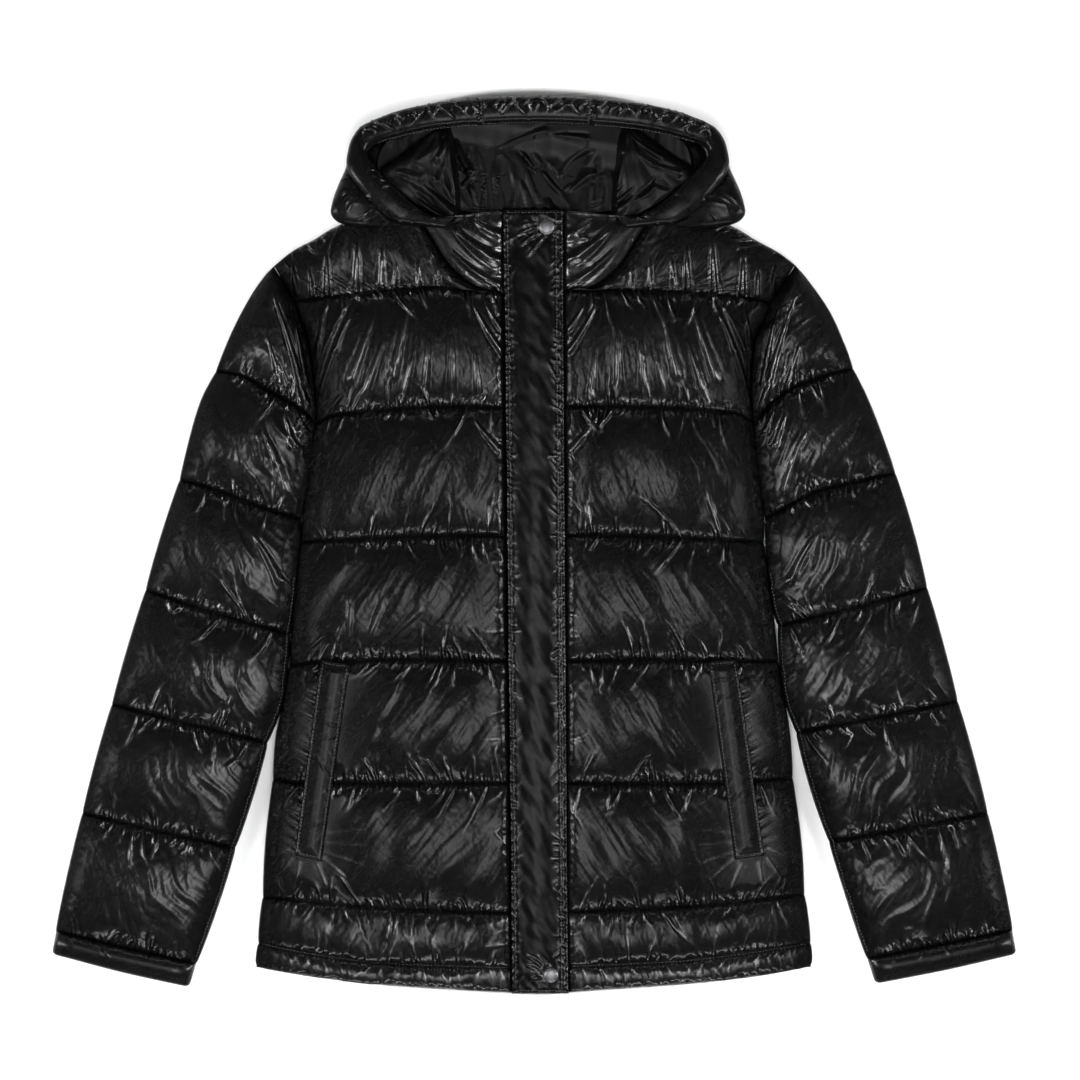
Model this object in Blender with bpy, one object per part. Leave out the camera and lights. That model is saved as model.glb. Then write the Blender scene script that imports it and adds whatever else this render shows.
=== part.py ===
"""A hooded puffer jacket, fastened and laid flat on its back.

The back lies on the ground, the fronts lie on the back, and the upper layer of
each sleeve lies on its under layer. The hood lies behind the neck with its
opening facing up. +X runs towards the wearer's left, +Y towards the hood and +Z
up, away from the ground. Every table below is in millimetres: "out" is measured
from the centre line towards the side seam, "up" along the length of the jacket.
"""

import math

import bmesh
import bpy
import numpy as np

MM = 0.001

# Heights above the ground of the layers that lie on each other.
BACK_TOP = 14.0
LAYER_GAP = 0.3
FRONT_LOW = BACK_TOP + LAYER_GAP
SEAM_WALL = 3.0
BODY_PUFF = 13.5
YOKE_PUFF = 10.0
SLEEVE_PUFF = 14.0
HEM_PUFF = 9.0
CUFF_PUFF = 8.0
SEAM_GAP = 0.3

# How far from a sewn side edge a row is rounded off, and how much the ground flattens it.
SIDE_ROUND = 26.0
FLAP_ROUND = 16.0
BACK_ROUND = 24.0
REST_SPREAD = 1.35
CUFF_SLIT_SHARE = 0.94

# The placket flap and the strip of each front that runs under it.
PLACKET_LOW = FRONT_LOW + SEAM_WALL + LAYER_GAP
PLACKET_WALL = 4.5
PLACKET_ROUND = 1.6
PLACKET_INSET = 0.8
PLACKET_ROWS = 12
PLACKET_ACROSS = (0.0, 0.05, 0.3, 0.7, 0.95, 1.0)
PLACKET_TOP = {"up": 302.5, "right": 28.6, "left": 26.0}
PLACKET_FOOT = {"up": -403.0, "right": 20.6, "left": 31.0}
CENTRE_CLEARANCE = 0.2

# Pocket welts lie on the fronts, over the two rows above the hem, where their stitching
# holds the padding down to a share of its height.
WELT_WALL = 3.5
WELT_LIFT = 0.35
WELT_ROWS = (4, 5)
WELT_SINK = 0.55

SNAP_TOP = {"x": 11.0, "y": 286.5, "radius": 7.0}
SNAP_FOOT = {"x": 15.0, "y": -386.5, "radius": 6.5}
SNAP_FLANGE = 0.8
SNAP_DOME = 2.2
SNAP_SIDES = 18
SNAP_STEPS = 4
SNAP_DOME_SHARE = 0.97

# Each row of quilting is cut across at these shares of its height.
ROW_SHARES = (0.0, 0.1, 0.32, 0.62, 0.88)
YOKE_SHARES = (0.0, 0.1, 0.22, 0.36, 0.5, 0.64, 0.8, 0.92)
SLEEVE_SHARES = (0.0, 0.06, 0.22, 0.5, 0.78, 0.94, 1.0)
BACK_SHARES = (0.0, 0.02, 0.08, 0.16, 0.243, 0.36, 0.5, 0.64, 0.757, 0.84, 0.92, 0.98, 1.0)

# Columns of each front: share of the width at the top and at the foot of the rows.
FRONT_COLUMNS = (
    (0.0, 0.0),
    (0.06, 0.05),
    (0.145, 0.125),
    (0.285, 0.238),
    (0.42, 0.4),
    (0.56, 0.56),
    (0.7, 0.7),
    (0.84, 0.84),
    (0.95, 0.95),
    (1.0, 1.0),
)
WELT_COLUMNS = (2, 3)

SIDES = {"right": -1.0, "left": 1.0}

# Quilting lines of the fronts, from the side seam to the placket: (out, up).
FRONT_LINES = {
    "right": (
        ((234.5, 251.5), (217.5, 265.0), (197.0, 276.0), (180.5, 286.0), (125.5, 312.0)),
        ((216.5, 220.0), (186.0, 223.0), (160.5, 226.5), (111.0, 231.0), (81.5, 232.0), (29.0, 227.0)),
        ((197.0, 109.5), (182.0, 116.5), (162.5, 119.0), (99.5, 124.0), (63.5, 124.5), (27.5, 123.5)),
        ((210.0, 3.0), (161.5, 5.5), (107.5, 8.0), (49.0, 9.0), (26.5, 8.0)),
        ((220.5, -108.5), (196.0, -105.0), (164.0, -104.0), (108.5, -103.0), (25.0, -104.0)),
        ((235.0, -210.0), (209.0, -214.0), (178.5, -214.0), (108.5, -214.5), (23.5, -214.0)),
        ((244.0, -316.5), (209.0, -320.0), (164.0, -324.5), (108.5, -328.0), (22.0, -331.0)),
        ((248.0, -358.0), (198.0, -368.0), (131.0, -376.0), (21.0, -380.0)),
        ((250.5, -379.5), (198.0, -388.5), (131.0, -396.0), (20.5, -402.5)),
    ),
    "left": (
        ((234.5, 252.5), (219.0, 264.0), (197.0, 276.0), (180.5, 286.0), (125.5, 312.0)),
        ((213.5, 219.0), (188.5, 223.0), (151.5, 227.0), (115.0, 229.0), (78.5, 230.0), (27.0, 229.0)),
        ((197.5, 110.0), (182.0, 118.5), (170.5, 120.0), (133.5, 123.0), (79.0, 124.5), (27.5, 124.5)),
        ((206.0, 3.0), (160.0, 5.5), (107.5, 8.0), (49.0, 9.0), (28.5, 8.5)),
        ((219.0, -104.0), (157.0, -104.0), (94.0, -103.0), (29.0, -104.0)),
        ((232.0, -209.0), (170.5, -214.0), (100.0, -214.5), (29.5, -214.0)),
        ((242.5, -314.5), (164.0, -323.0), (108.5, -327.0), (30.0, -330.0)),
        ((248.0, -358.0), (198.0, -366.0), (131.0, -374.0), (30.5, -379.0)),
        ((249.0, -379.0), (198.0, -388.0), (139.0, -394.5), (31.0, -402.0)),
    ),
}

# Points of the side edge of each row of a front, between its quilting lines.
SIDE_EDGES = {
    "right": (
        (),
        ((213.0, 211.0), (204.0, 184.0), (199.5, 157.0), (196.5, 124.5)),
        ((201.0, 88.0), (204.0, 54.5), (208.0, 23.0)),
        ((214.5, -49.0),),
        ((224.5, -139.0), (231.5, -172.0)),
        ((241.0, -268.5),),
        (),
        (),
    ),
    "left": (
        (),
        ((206.0, 200.0), (198.5, 184.0), (195.0, 151.0), (195.5, 125.0)),
        ((200.0, 88.0), (203.0, 54.5), (205.5, 23.0)),
        ((212.0, -49.0),),
        ((224.0, -139.0), (229.0, -172.0)),
        ((239.0, -268.5),),
        (),
        (),
    ),
}
BACK_NECK = ((-100.0, 303.5), (-60.0, 295.5), (0.0, 291.5), (60.0, 295.5), (100.0, 303.5))
NECK_EDGE = ((107.5, 297.5), (94.0, 277.5), (78.0, 252.5), (61.0, 237.0), (46.5, 230.0))
UNDERARM_SHARE_POINTS = 3

# Quilting lines of the sleeves, from the outer edge to the underarm: (out, up).
SLEEVE_LINES = {
    "right": (
        ((239.0, 247.0), (235.0, 251.0)),
        ((286.5, 156.5), (276.0, 155.5), (258.0, 150.0), (242.5, 141.0), (213.0, 124.0), (197.0, 109.5)),
        ((319.0, 59.0), (294.0, 52.5), (258.0, 39.0), (236.0, 31.0), (210.5, 24.0)),
        ((349.5, -40.0), (317.0, -51.5), (270.0, -66.0), (220.0, -80.0)),
        ((380.0, -143.0), (310.0, -161.0), (240.5, -177.5)),
        ((406.5, -241.0), (338.0, -257.5), (269.5, -272.0)),
        ((430.5, -347.0), (367.0, -362.5), (304.5, -376.0)),
        ((434.5, -367.5), (372.0, -384.0), (311.0, -397.5)),
    ),
    "left": (
        ((239.0, 247.5), (235.0, 252.0)),
        ((286.5, 159.0), (256.5, 151.0), (223.0, 135.5), (197.5, 110.0)),
        ((324.5, 65.0), (285.0, 56.0), (251.5, 47.0), (208.0, 24.0)),
        ((353.0, -38.0), (304.0, -52.0), (265.0, -61.5), (219.5, -72.0)),
        ((380.5, -140.0), (307.0, -155.0), (236.0, -168.5)),
        ((407.5, -241.0), (336.0, -254.5), (265.5, -266.5)),
        ((430.0, -346.0), (364.0, -359.5), (299.5, -371.5)),
        ((434.0, -367.5), (371.0, -382.0), (307.0, -394.5)),
    ),
}

# Points of the outer and the inner edge of each row of a sleeve, between its quilting lines.
OUTER_EDGES = {
    "right": (((252.5, 227.0), (269.0, 196.0)), ((301.0, 124.5),), ((335.0, 8.0),), (), (), (), ()),
    "left": (((263.0, 212.5), (278.0, 180.5)), ((301.5, 125.5),), ((340.0, 12.0),), (), (), (), ()),
}
INNER_EDGES = {
    "right": (
        (),
        (),
        ((217.0, -49.0),),
        ((225.0, -120.0), (228.5, -143.0)),
        ((254.0, -222.0),),
        ((283.0, -313.0),),
        (),
    ),
    "left": (
        (),
        (),
        ((214.5, -49.0),),
        ((224.0, -120.0), (228.0, -143.0)),
        ((250.0, -218.0),),
        ((280.0, -309.0),),
        (),
    ),
}
SLEEVE_CLEARANCE = 1.6

# The collar: its top edge from under the hood to the centre line, (out, up).
COLLAR_TOP = ((112.0, 306.5), (95.0, 301.5), (71.5, 297.5), (48.0, 300.0), (27.5, 302.0))
COLLAR_PUFF = 7.0
COLLAR_TOP_RISE = 0.55
COLLAR_END_ROUND = (0.25, 0.2)
NECK_CLEARANCE = 0.25
COLLAR_SHARES = (0.0, 0.12, 0.35, 0.65, 0.88, 1.0)

# Hood rim: outer and inner edge, and the heights of its low side and its crown.
RIM = (
    # out_out, out_up, in_out, in_up, low, crown
    (81.0, 284.5, 71.5, 295.5, 26.5, 37.0),
    (107.0, 287.0, 91.5, 294.5, 28.5, 42.0),
    (125.0, 289.5, 108.5, 305.0, 28.5, 46.0),
    (142.5, 302.0, 124.5, 319.0, 28.5, 47.0),
    (159.5, 321.5, 139.5, 334.5, 28.0, 46.5),
    (168.0, 339.0, 149.0, 346.5, 27.0, 45.0),
    (167.5, 353.0, 150.5, 352.0, 24.0, 43.0),
    (163.0, 366.5, 148.0, 356.5, 22.0, 42.0),
    (153.0, 377.5, 141.0, 361.0, 20.0, 41.0),
    (124.5, 389.5, 116.0, 368.5, 17.0, 39.0),
    (97.5, 396.0, 92.0, 373.5, 15.0, 37.0),
    (69.0, 400.0, 66.0, 376.5, 14.0, 36.0),
    (50.0, 401.8, 48.5, 377.5, 14.0, 36.0),
)
RIM_CENTRE = (
    (49.4, 401.8, 47.9, 377.5, 14.0, 36.0),
    (25.0, 403.0, 24.0, 378.8, 14.0, 36.0),
    (0.0, 403.5, 0.0, 379.3, 14.0, 36.0),
)
RIM_AROUND = 10
LEFT_HOOD_SPREAD = 1.035

# Hood sides: inner and outer edge of the panel, and its lowest and highest height.
HOOD_SIDE = (
    # in_out, in_up, edge_out, edge_up, low, crown
    (127.5, 290.0, 128.5, 288.0, 28.5, 32.0),
    (143.5, 301.3, 150.0, 289.0, 28.5, 42.0),
    (152.5, 312.0, 180.5, 294.5, 28.5, 45.0),
    (160.5, 321.0, 180.0, 308.0, 26.0, 45.0),
    (166.0, 331.0, 175.5, 325.0, 14.0, 38.0),
    (158.0, 339.5, 167.5, 339.0, 0.0, 25.5),
    (157.5, 351.0, 166.5, 353.0, 0.0, 23.0),
    (154.0, 360.5, 162.0, 365.5, 0.0, 21.0),
    (146.0, 369.5, 152.5, 376.0, 0.0, 19.0),
    (121.5, 380.5, 124.0, 388.0, 0.0, 16.0),
    (95.5, 387.5, 97.0, 394.5, 0.0, 14.0),
    (68.0, 391.5, 68.5, 398.5, 0.0, 13.0),
    (50.0, 393.5, 50.0, 400.5, 0.0, 13.0),
)
HOOD_BACK_OUTLINE = (
    (0.0, 402.0), (30.0, 401.6), (49.0, 401.0), (49.2, 392.5), (68.0, 390.5), (95.0, 386.5),
    (120.5, 379.5), (144.5, 368.5), (152.5, 360.0), (156.0, 350.0), (156.5, 338.0), (152.0, 322.0),
    (140.0, 306.3), (126.0, 312.8), (100.0, 304.3), (60.0, 296.3), (0.0, 292.2),
)
HOOD_BACK_WALL = 7.0
HOOD_EDGE_RISE = 3.0
HOOD_CORE_SHARE = 0.97
LINING_WALL = 1.5
LINING_INSET = 0.94
LINING_CENTRE_UP = 340.0

# Side linings of the hood: share along the rim's inner edge against the fold's ridge.
LINING_RIDGE = (
    # rim_out, rim_up, rim_height, ridge_out, ridge_up, ridge_height
    (79.0, 298.0, 30.0, 73.0, 301.0, 29.5),
    (92.0, 297.5, 31.0, 72.5, 306.0, 30.0),
    (107.5, 307.5, 34.0, 73.0, 318.0, 31.0),
    (123.5, 321.0, 35.0, 74.5, 332.0, 32.0),
    (138.0, 336.5, 33.0, 76.0, 345.0, 33.0),
    (146.0, 348.0, 30.0, 77.5, 355.0, 34.0),
    (139.0, 358.0, 27.0, 79.5, 363.0, 33.0),
    (115.0, 366.5, 24.0, 82.0, 371.0, 28.0),
)
LINING_DROP = 4.5
LINING_FLOOR = 9.4
LINING_ACROSS = (0.0, 0.2, 0.4, 0.6, 0.8, 0.93, 1.0)
LINING_SWELL = 2.5
LINING_WAIST = 1.2

CLOTH = {"color": (0.012, 0.012, 0.013), "roughness": 0.32, "metallic": 0.0}
LINING = {"color": (0.016, 0.016, 0.018), "roughness": 0.42, "metallic": 0.0}
METAL = {"color": (0.05, 0.05, 0.055), "roughness": 0.35, "metallic": 0.9}


class Curve:
    """A line through points, straight between them or rounded, read by its share of length."""

    def __init__(self, points, rounded=True):
        knots = np.array(points, float)
        if rounded and len(knots) > 2:
            knots = self.through(knots)
        self.knots = knots
        steps = np.linalg.norm(np.diff(knots, axis=0), axis=1)
        self.length = np.concatenate(([0.0], np.cumsum(steps)))

    @staticmethod
    def through(knots, pieces=12):
        """Points of a Catmull-Rom curve, with pieces between each two knots."""
        before = 2.0 * knots[0] - knots[1]
        after = 2.0 * knots[-1] - knots[-2]
        path = np.vstack((before, knots, after))
        found = []
        for a, b, c, d in zip(path, path[1:], path[2:], path[3:]):
            for step in range(pieces):
                t = step / pieces
                rise = (c - a) * t + (2.0 * a - 5.0 * b + 4.0 * c - d) * t**2
                found.append(b + 0.5 * (rise + (3.0 * b - a - 3.0 * c + d) * t**3))
        return np.array([*found, knots[-1]])

    def at(self, share):
        """The point at this share of the curve's length."""
        along = share * self.length[-1]
        return np.array([np.interp(along, self.length, axis) for axis in self.knots.T])

    def shares(self):
        """The share of length at each of the curve's own points."""
        return self.length / self.length[-1]


class Steps:
    """An edge given by points at stated shares, straight between them."""

    def __init__(self, points, shares):
        self.points = np.array(points, float)
        self.shares = shares

    def at(self, share):
        """The point at this share."""
        return np.array([np.interp(share, self.shares, axis) for axis in self.points.T])


def lens(share):
    """Height of a puffed row, from 0 at its seams to 1 in the middle."""
    return math.sqrt(max(0.0, 4.0 * share * (1.0 - share)))


def rounded_rise(distance, reach):
    """Quarter-round rise from 0 at a sewn edge to 1 at reach from it."""
    short = max(0.0, 1.0 - distance / reach)
    return math.sqrt(1.0 - short * short)


def patch_point(top, foot, near, far, across, down):
    """A point of the surface that spans four edge curves."""
    ends = (1 - down) * top.at(across) + down * foot.at(across)
    sides = (1 - across) * near.at(down) + across * far.at(down)
    high = (1 - across) * top.at(0.0) + across * top.at(1.0)
    low = (1 - across) * foot.at(0.0) + across * foot.at(1.0)
    return ends + sides - (1 - down) * high - down * low


def pull_in(grid, gap):
    """Moves the edge points of a grid inwards by gap, so that sewn pieces stay apart."""
    pulled = grid.copy()
    for edge, inside in ((0, 1), (-1, -2)):
        for axis in (0, 1):
            border = np.take(grid, edge, axis)[:, :2]
            step = np.take(grid, inside, axis)[:, :2] - border
            size = np.maximum(np.linalg.norm(step, axis=1, keepdims=True), 1e-6)
            target = pulled[edge] if axis == 0 else pulled[:, edge]
            target[:, :2] += gap * step / size
    return pulled


def make_object(name, verts, faces, look):
    """Adds one closed mesh object, given in millimetres, with its own material."""
    mesh = bpy.data.meshes.new(name)
    mesh.from_pydata([tuple(MM * float(value) for value in point) for point in verts], [], faces)
    shape = bmesh.new()
    shape.from_mesh(mesh)
    bmesh.ops.recalc_face_normals(shape, faces=shape.faces)
    shape.to_mesh(mesh)
    shape.free()
    mesh.shade_smooth()
    mesh.set_sharp_from_angle(angle=math.radians(50.0))
    mesh.materials.append(make_material(name, look))
    made = bpy.data.objects.new(name, mesh)
    bpy.context.scene.collection.objects.link(made)
    return made


def make_material(name, look):
    """A Principled material for one piece."""
    material = bpy.data.materials.new(name)
    material.use_nodes = True
    shader = material.node_tree.nodes["Principled BSDF"]
    shader.inputs["Base Color"].default_value = (*look["color"], 1.0)
    shader.inputs["Roughness"].default_value = look["roughness"]
    shader.inputs["Metallic"].default_value = look["metallic"]
    return material


def grid_faces(rows, columns, first=0):
    """Triangles of a grid of points, all cut along the same diagonal."""
    faces = []
    for row in range(rows - 1):
        for column in range(columns - 1):
            a = first + row * columns + column
            b, c, d = a + 1, a + columns + 1, a + columns
            faces += [(a, b, c), (a, c, d)]
    return faces


def border_of(rows, columns):
    """Indices round the edge of a grid, in order."""
    top = list(range(columns))
    far = [row * columns + columns - 1 for row in range(1, rows)]
    foot = [(rows - 1) * columns + column for column in range(columns - 2, -1, -1)]
    near = [row * columns for row in range(rows - 2, 0, -1)]
    return top + far + foot + near


def flat_backed(name, grid, flat, look, strip=None):
    """A panel with the grid as its outer face and one flat face at the height flat.

    A strip adds one more column beside the last one, from a given row down, at a given x.
    """
    rows, columns = grid.shape[:2]
    verts = list(grid.reshape(-1, 3))
    faces = grid_faces(rows, columns)
    border = border_of(rows, columns)
    if strip:
        first, edge = strip
        extra = []
        for row in range(first, rows):
            extra.append(len(verts))
            verts.append(np.array([edge, *grid[row, -1][1:]]))
        last = [row * columns + columns - 1 for row in range(first, rows)]
        for a, b, c, d in zip(last, extra, extra[1:], last[1:]):
            faces += [(a, b, c), (a, c, d)]
        turn = columns + max(0, first - 1)
        border = border[: turn + (first > 0)] + extra + border[columns + rows - 2 :]
    under = range(len(verts), len(verts) + len(border))
    verts += [np.array([*verts[index][:2], flat]) for index in border]
    for step in range(len(border)):
        after = (step + 1) % len(border)
        faces.append((border[step], under[step], under[after], border[after]))
    faces.append(tuple(under))
    return make_object(name, verts, faces, look)


def two_sided(name, upper, lower, look):
    """A panel between two grids of the same size."""
    rows, columns = upper.shape[:2]
    count = rows * columns
    verts = [*upper.reshape(-1, 3), *lower.reshape(-1, 3)]
    faces = grid_faces(rows, columns) + grid_faces(rows, columns, count)
    border = border_of(rows, columns)
    for index, after in zip(border, border[1:] + border[:1]):
        faces.append((index, index + count, after + count, after))
    return make_object(name, verts, faces, look)


def ringed(name, rings, look, looped=False):
    """A tube through rings of points; its ends are closed, or joined when looped."""
    around = len(rings[0])
    verts = [point for ring in rings for point in ring]
    faces = []
    for row in range(len(rings) if looped else len(rings) - 1):
        first = row * around
        second = (row + 1) % len(rings) * around
        for step in range(around):
            after = (step + 1) % around
            faces.append((first + step, first + after, second + after, second + step))
    if not looped:
        faces.append(tuple(range(around)))
        faces.append(tuple(range(len(verts) - around, len(verts))))
    return make_object(name, verts, faces, look)


def row_shares(row):
    """Shares of its height at which a row of the body is cut across; the yoke has more."""
    return YOKE_SHARES if row == 0 else ROW_SHARES


def side_samples(side, row):
    """Points of the side edge of one row of the body, shared by fronts, back and sleeve."""
    lines = FRONT_LINES[side]
    edge = Curve((lines[row][0], *SIDE_EDGES[side][row], lines[row + 1][0]))
    return [edge.at(share) for share in (*row_shares(row), 1.0)]


def front_edge(side, row):
    """The edge of one row of a front that is nearest the centre line."""
    lines = FRONT_LINES[side]
    between = NECK_EDGE if row == 0 else ()
    return Curve((lines[row][-1], *between, lines[row + 1][-1]))


def neck_samples(side):
    """Points of the neck seam, shared by the yoke and the collar."""
    edge = front_edge(side, 0)
    return [edge.at(share) for share in (*YOKE_SHARES, 1.0)]


def front_rows(side, first, last):
    """Grid of plan points and puff shares of the front's rows, from first up to last."""
    sign = SIDES[side]
    lines = FRONT_LINES[side]
    grid = []
    for row in range(first, last):
        top = Curve(lines[row])
        foot = Curve(lines[row + 1])
        near = Steps(side_samples(side, row), (*row_shares(row), 1.0))
        far = Steps(neck_samples(side), (*row_shares(row), 1.0)) if row == 0 else front_edge(side, row)
        shares = (*row_shares(row), 1.0)
        width = foot.length[-1]
        for share in shares if row == last - 1 else shares[:-1]:
            lean = np.clip((row + share - WELT_ROWS[0]) / 2.0, 0.0, 1.0)
            line = []
            for high, low in FRONT_COLUMNS:
                across = (1 - lean) * high + lean * low
                out, up = patch_point(top, foot, near, far, across, share)
                edge = rounded_rise(across * width, SIDE_ROUND)
                edge *= rounded_rise((1 - across) * width, FLAP_ROUND)
                line.append((sign * out, up, lens(share) * edge))
            grid.append(line)
    return np.array(grid)


def front_panel(side):
    """One front: six puffed rows, with a flat strip that runs under the placket."""
    grid = front_rows(side, 0, 6)
    grid[welt_rows(), WELT_COLUMNS[0] : WELT_COLUMNS[1] + 1, 2] *= WELT_SINK
    yoke_rows = len(YOKE_SHARES)
    puff = np.full(len(grid), BODY_PUFF)
    puff[:yoke_rows] = YOKE_PUFF
    grid[:, :, 2] = FRONT_LOW + SEAM_WALL + puff[:, None] * grid[:, :, 2]
    sewn = pull_in(grid, SEAM_GAP / 2)
    flat_backed(f"front_panel_{side}", sewn, FRONT_LOW, CLOTH, centre_strip(side, yoke_rows))
    return grid


def centre_strip(side, first=0):
    """Where a front runs on under the placket: its first row and its edge at the centre line."""
    return first, SIDES[side] * CENTRE_CLEARANCE


def welt_rows():
    """The rows of a front's grid that a welt covers."""
    rows = len(ROW_SHARES)
    start = len(YOKE_SHARES) + (WELT_ROWS[0] - 1) * rows
    return slice(start, start + rows + ROW_SHARES.index(0.62) + 1)


def pocket_welt(side, grid):
    """A welt made from the front's own points, moved out."""
    near, far = WELT_COLUMNS
    under = grid[welt_rows(), near : far + 1].copy()
    under[:, :, 2] += WELT_LIFT
    upper = under.copy()
    upper[:, :, 2] += WELT_WALL
    two_sided(f"pocket_welt_{side}", upper, under, CLOTH)


def hem_front(side):
    """The hem band under one front, with its edge stitched flat under the placket."""
    grid = front_rows(side, 6, 8)
    grid[:, :, 2] = FRONT_LOW + SEAM_WALL + HEM_PUFF * grid[:, :, 2]
    sewn = pull_in(grid, SEAM_GAP / 2)
    flat_backed(f"hem_band_{side}", sewn, FRONT_LOW, CLOTH, centre_strip(side))


def back_line(index):
    """A line of the back from side seam to side seam, through the ends of the fronts' lines."""
    right = [(-out, up) for out, up in FRONT_LINES["right"][index]]
    left = [(out, up) for out, up in FRONT_LINES["left"][index][::-1]]
    return Curve((*right, *(BACK_NECK if index == 0 else ()), *left))


def back_rows(first, last):
    """Grid of plan points and puff shares of the back, from side seam to side seam."""
    grid = []
    for row in range(first, last):
        shares = (*row_shares(row), 1.0)
        top = back_line(row)
        foot = back_line(row + 1)
        near = Steps([(-out, up) for out, up in side_samples("right", row)], shares)
        far = Steps(side_samples("left", row), shares)
        width = foot.length[-1]
        for share in shares if row == last - 1 else shares[:-1]:
            line = []
            for across in BACK_SHARES:
                x, y = patch_point(top, foot, near, far, across, share)
                edge = rounded_rise(min(across, 1 - across) * width, BACK_ROUND)
                line.append((x, y, lens(share) * edge))
            grid.append(line)
    return np.array(grid)


def back_panel():
    """The whole back: six rows that rest on the ground, and its hem band."""
    for name, first, last in (("back_panel", 0, 6), ("hem_band_back", 6, 8)):
        grid = back_rows(first, last)
        grid[:, :, 2] = resting(grid[:, :, 2], BACK_TOP)
        flat_backed(name, pull_in(grid, SEAM_GAP / 2), BACK_TOP, CLOTH)


def resting(puff, top):
    """Height of the underside of a layer with its top at a height, flat where it is puffed."""
    return (top - SEAM_WALL) * (1.0 - np.minimum(1.0, REST_SPREAD * puff))


def armhole_edge(side):
    """Points of the sleeve's edge that is sewn to the two upper rows of the body."""
    tip = np.array(SLEEVE_LINES[side][0][-1])
    return [tip, *side_samples(side, 0)[2::2], *side_samples(side, 1)[1:]]


def underarm_edge(side):
    """Points of the sleeve's edge beside the body, clear of it below the underarm."""
    shared = side_samples(side, 2)[:UNDERARM_SHARE_POINTS]
    middle = side_samples(side, 2)[UNDERARM_SHARE_POINTS] + (SLEEVE_CLEARANCE, 0.0)
    end = np.array(SLEEVE_LINES[side][2][-1])
    return [*shared, middle, end]


def sleeve_rows(side, first, last):
    """Grid of plan points and puff shares of one layer of a sleeve."""
    sign = SIDES[side]
    lines = SLEEVE_LINES[side]
    grid = []
    for row in range(first, last):
        top = Curve(lines[row])
        foot = Curve(lines[row + 1])
        near = Curve((lines[row][0], *OUTER_EDGES[side][row], lines[row + 1][0]))
        if row < 2:
            edge = armhole_edge(side) if row == 0 else underarm_edge(side)
            shares = tuple(Curve(edge, rounded=False).shares())
            far = Steps(edge, shares)
        else:
            far = Curve((lines[row][-1], *INNER_EDGES[side][row], lines[row + 1][-1]))
            shares = (*ROW_SHARES, 1.0)
        for share in shares if row == last - 1 else shares[:-1]:
            line = []
            for across in SLEEVE_SHARES:
                out, up = patch_point(top, foot, near, far, across, share)
                width = foot.length[-1]
                edge = rounded_rise(min(across, 1 - across) * width, SIDE_ROUND)
                line.append((sign * out, up, lens(share) * edge))
            grid.append(line)
    return np.array(grid)


def sleeve(side):
    """The upper and the under layer of one sleeve."""
    grid = pull_in(sleeve_rows(side, 0, 6), SEAM_GAP / 2)
    upper = grid.copy()
    upper[:, :, 2] = FRONT_LOW + SEAM_WALL + SLEEVE_PUFF * grid[:, :, 2]
    under = grid.copy()
    under[:, :, 2] = resting(grid[:, :, 2], BACK_TOP)
    flat_backed(f"sleeve_top_{side}", upper, FRONT_LOW, CLOTH)
    flat_backed(f"sleeve_under_{side}", under, BACK_TOP, CLOTH)


def cuff_band(side):
    """The turned band at the end of a sleeve: a flattened tube, open from end to end."""
    grid = pull_in(sleeve_rows(side, 6, 7), SEAM_GAP / 2)
    middle = (BACK_TOP + FRONT_LOW) / 2
    outer = []
    inner = []
    for line in grid:
        centre = line[:, :2].mean(axis=0)
        high = middle + SEAM_WALL + CUFF_PUFF * line[:, 2]
        low = resting(line[:, 2], middle)
        high[[0, -1]] = middle
        low[[0, -1]] = middle
        slit = CUFF_SLIT_SHARE * (line[:, :2] - centre) + centre
        spread = np.full(len(line), LAYER_GAP / 2)
        spread[[0, -1]] = 0.0
        outer.append(around_section(line[:, :2], high, low))
        inner.append(around_section(slit, middle + spread, middle - spread))
    ringed(f"cuff_band_{side}", outer + inner[::-1], CLOTH, looped=True)


def around_section(plan, high, low):
    """Points round a flattened section: over the top and back underneath."""
    top = [(*point, height) for point, height in zip(plan, high)]
    foot = [(*point, height) for point, height in zip(plan, low)]
    return top + foot[-2:0:-1]


def placket_flap():
    """The flap over the front fastening, a flat padded strip with rounded edges."""
    grid = []
    for step in range(PLACKET_ROWS + 1):
        share = step / PLACKET_ROWS
        y = (1 - share) * PLACKET_TOP["up"] + share * PLACKET_FOOT["up"]
        start = -(1 - share) * PLACKET_TOP["right"] - share * PLACKET_FOOT["right"]
        end = (1 - share) * PLACKET_TOP["left"] + share * PLACKET_FOOT["left"]
        line = []
        for across in PLACKET_ACROSS:
            x = (1 - across) * (start + PLACKET_INSET) + across * (end - PLACKET_INSET)
            drop = 0.0 if 0 < across < 1 else PLACKET_ROUND
            line.append((x, y, PLACKET_LOW + PLACKET_WALL - drop))
        grid.append(line)
    flat_backed("placket_flap", np.array(grid), PLACKET_LOW, CLOTH)


def snap_cap(name, place):
    """A domed cap of a snap fastener, seated on the flap."""
    floor = PLACKET_LOW + PLACKET_WALL + LAYER_GAP
    radius = place["radius"]
    profile = [(radius, floor), (radius, floor + SNAP_FLANGE)]
    for step in range(1, SNAP_STEPS + 1):
        angle = 0.5 * math.pi * step / (SNAP_STEPS + 0.5)
        height = floor + SNAP_FLANGE + (SNAP_DOME - SNAP_FLANGE) * math.sin(angle)
        profile.append((radius * math.cos(angle) * SNAP_DOME_SHARE, height))
    rings = []
    for reach, height in profile:
        ring = []
        for side in range(SNAP_SIDES):
            turn = 2 * math.pi * side / SNAP_SIDES
            ring.append((place["x"] + reach * math.cos(turn), place["y"] + reach * math.sin(turn), height))
        rings.append(ring)
    ringed(name, rings, METAL)


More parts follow.
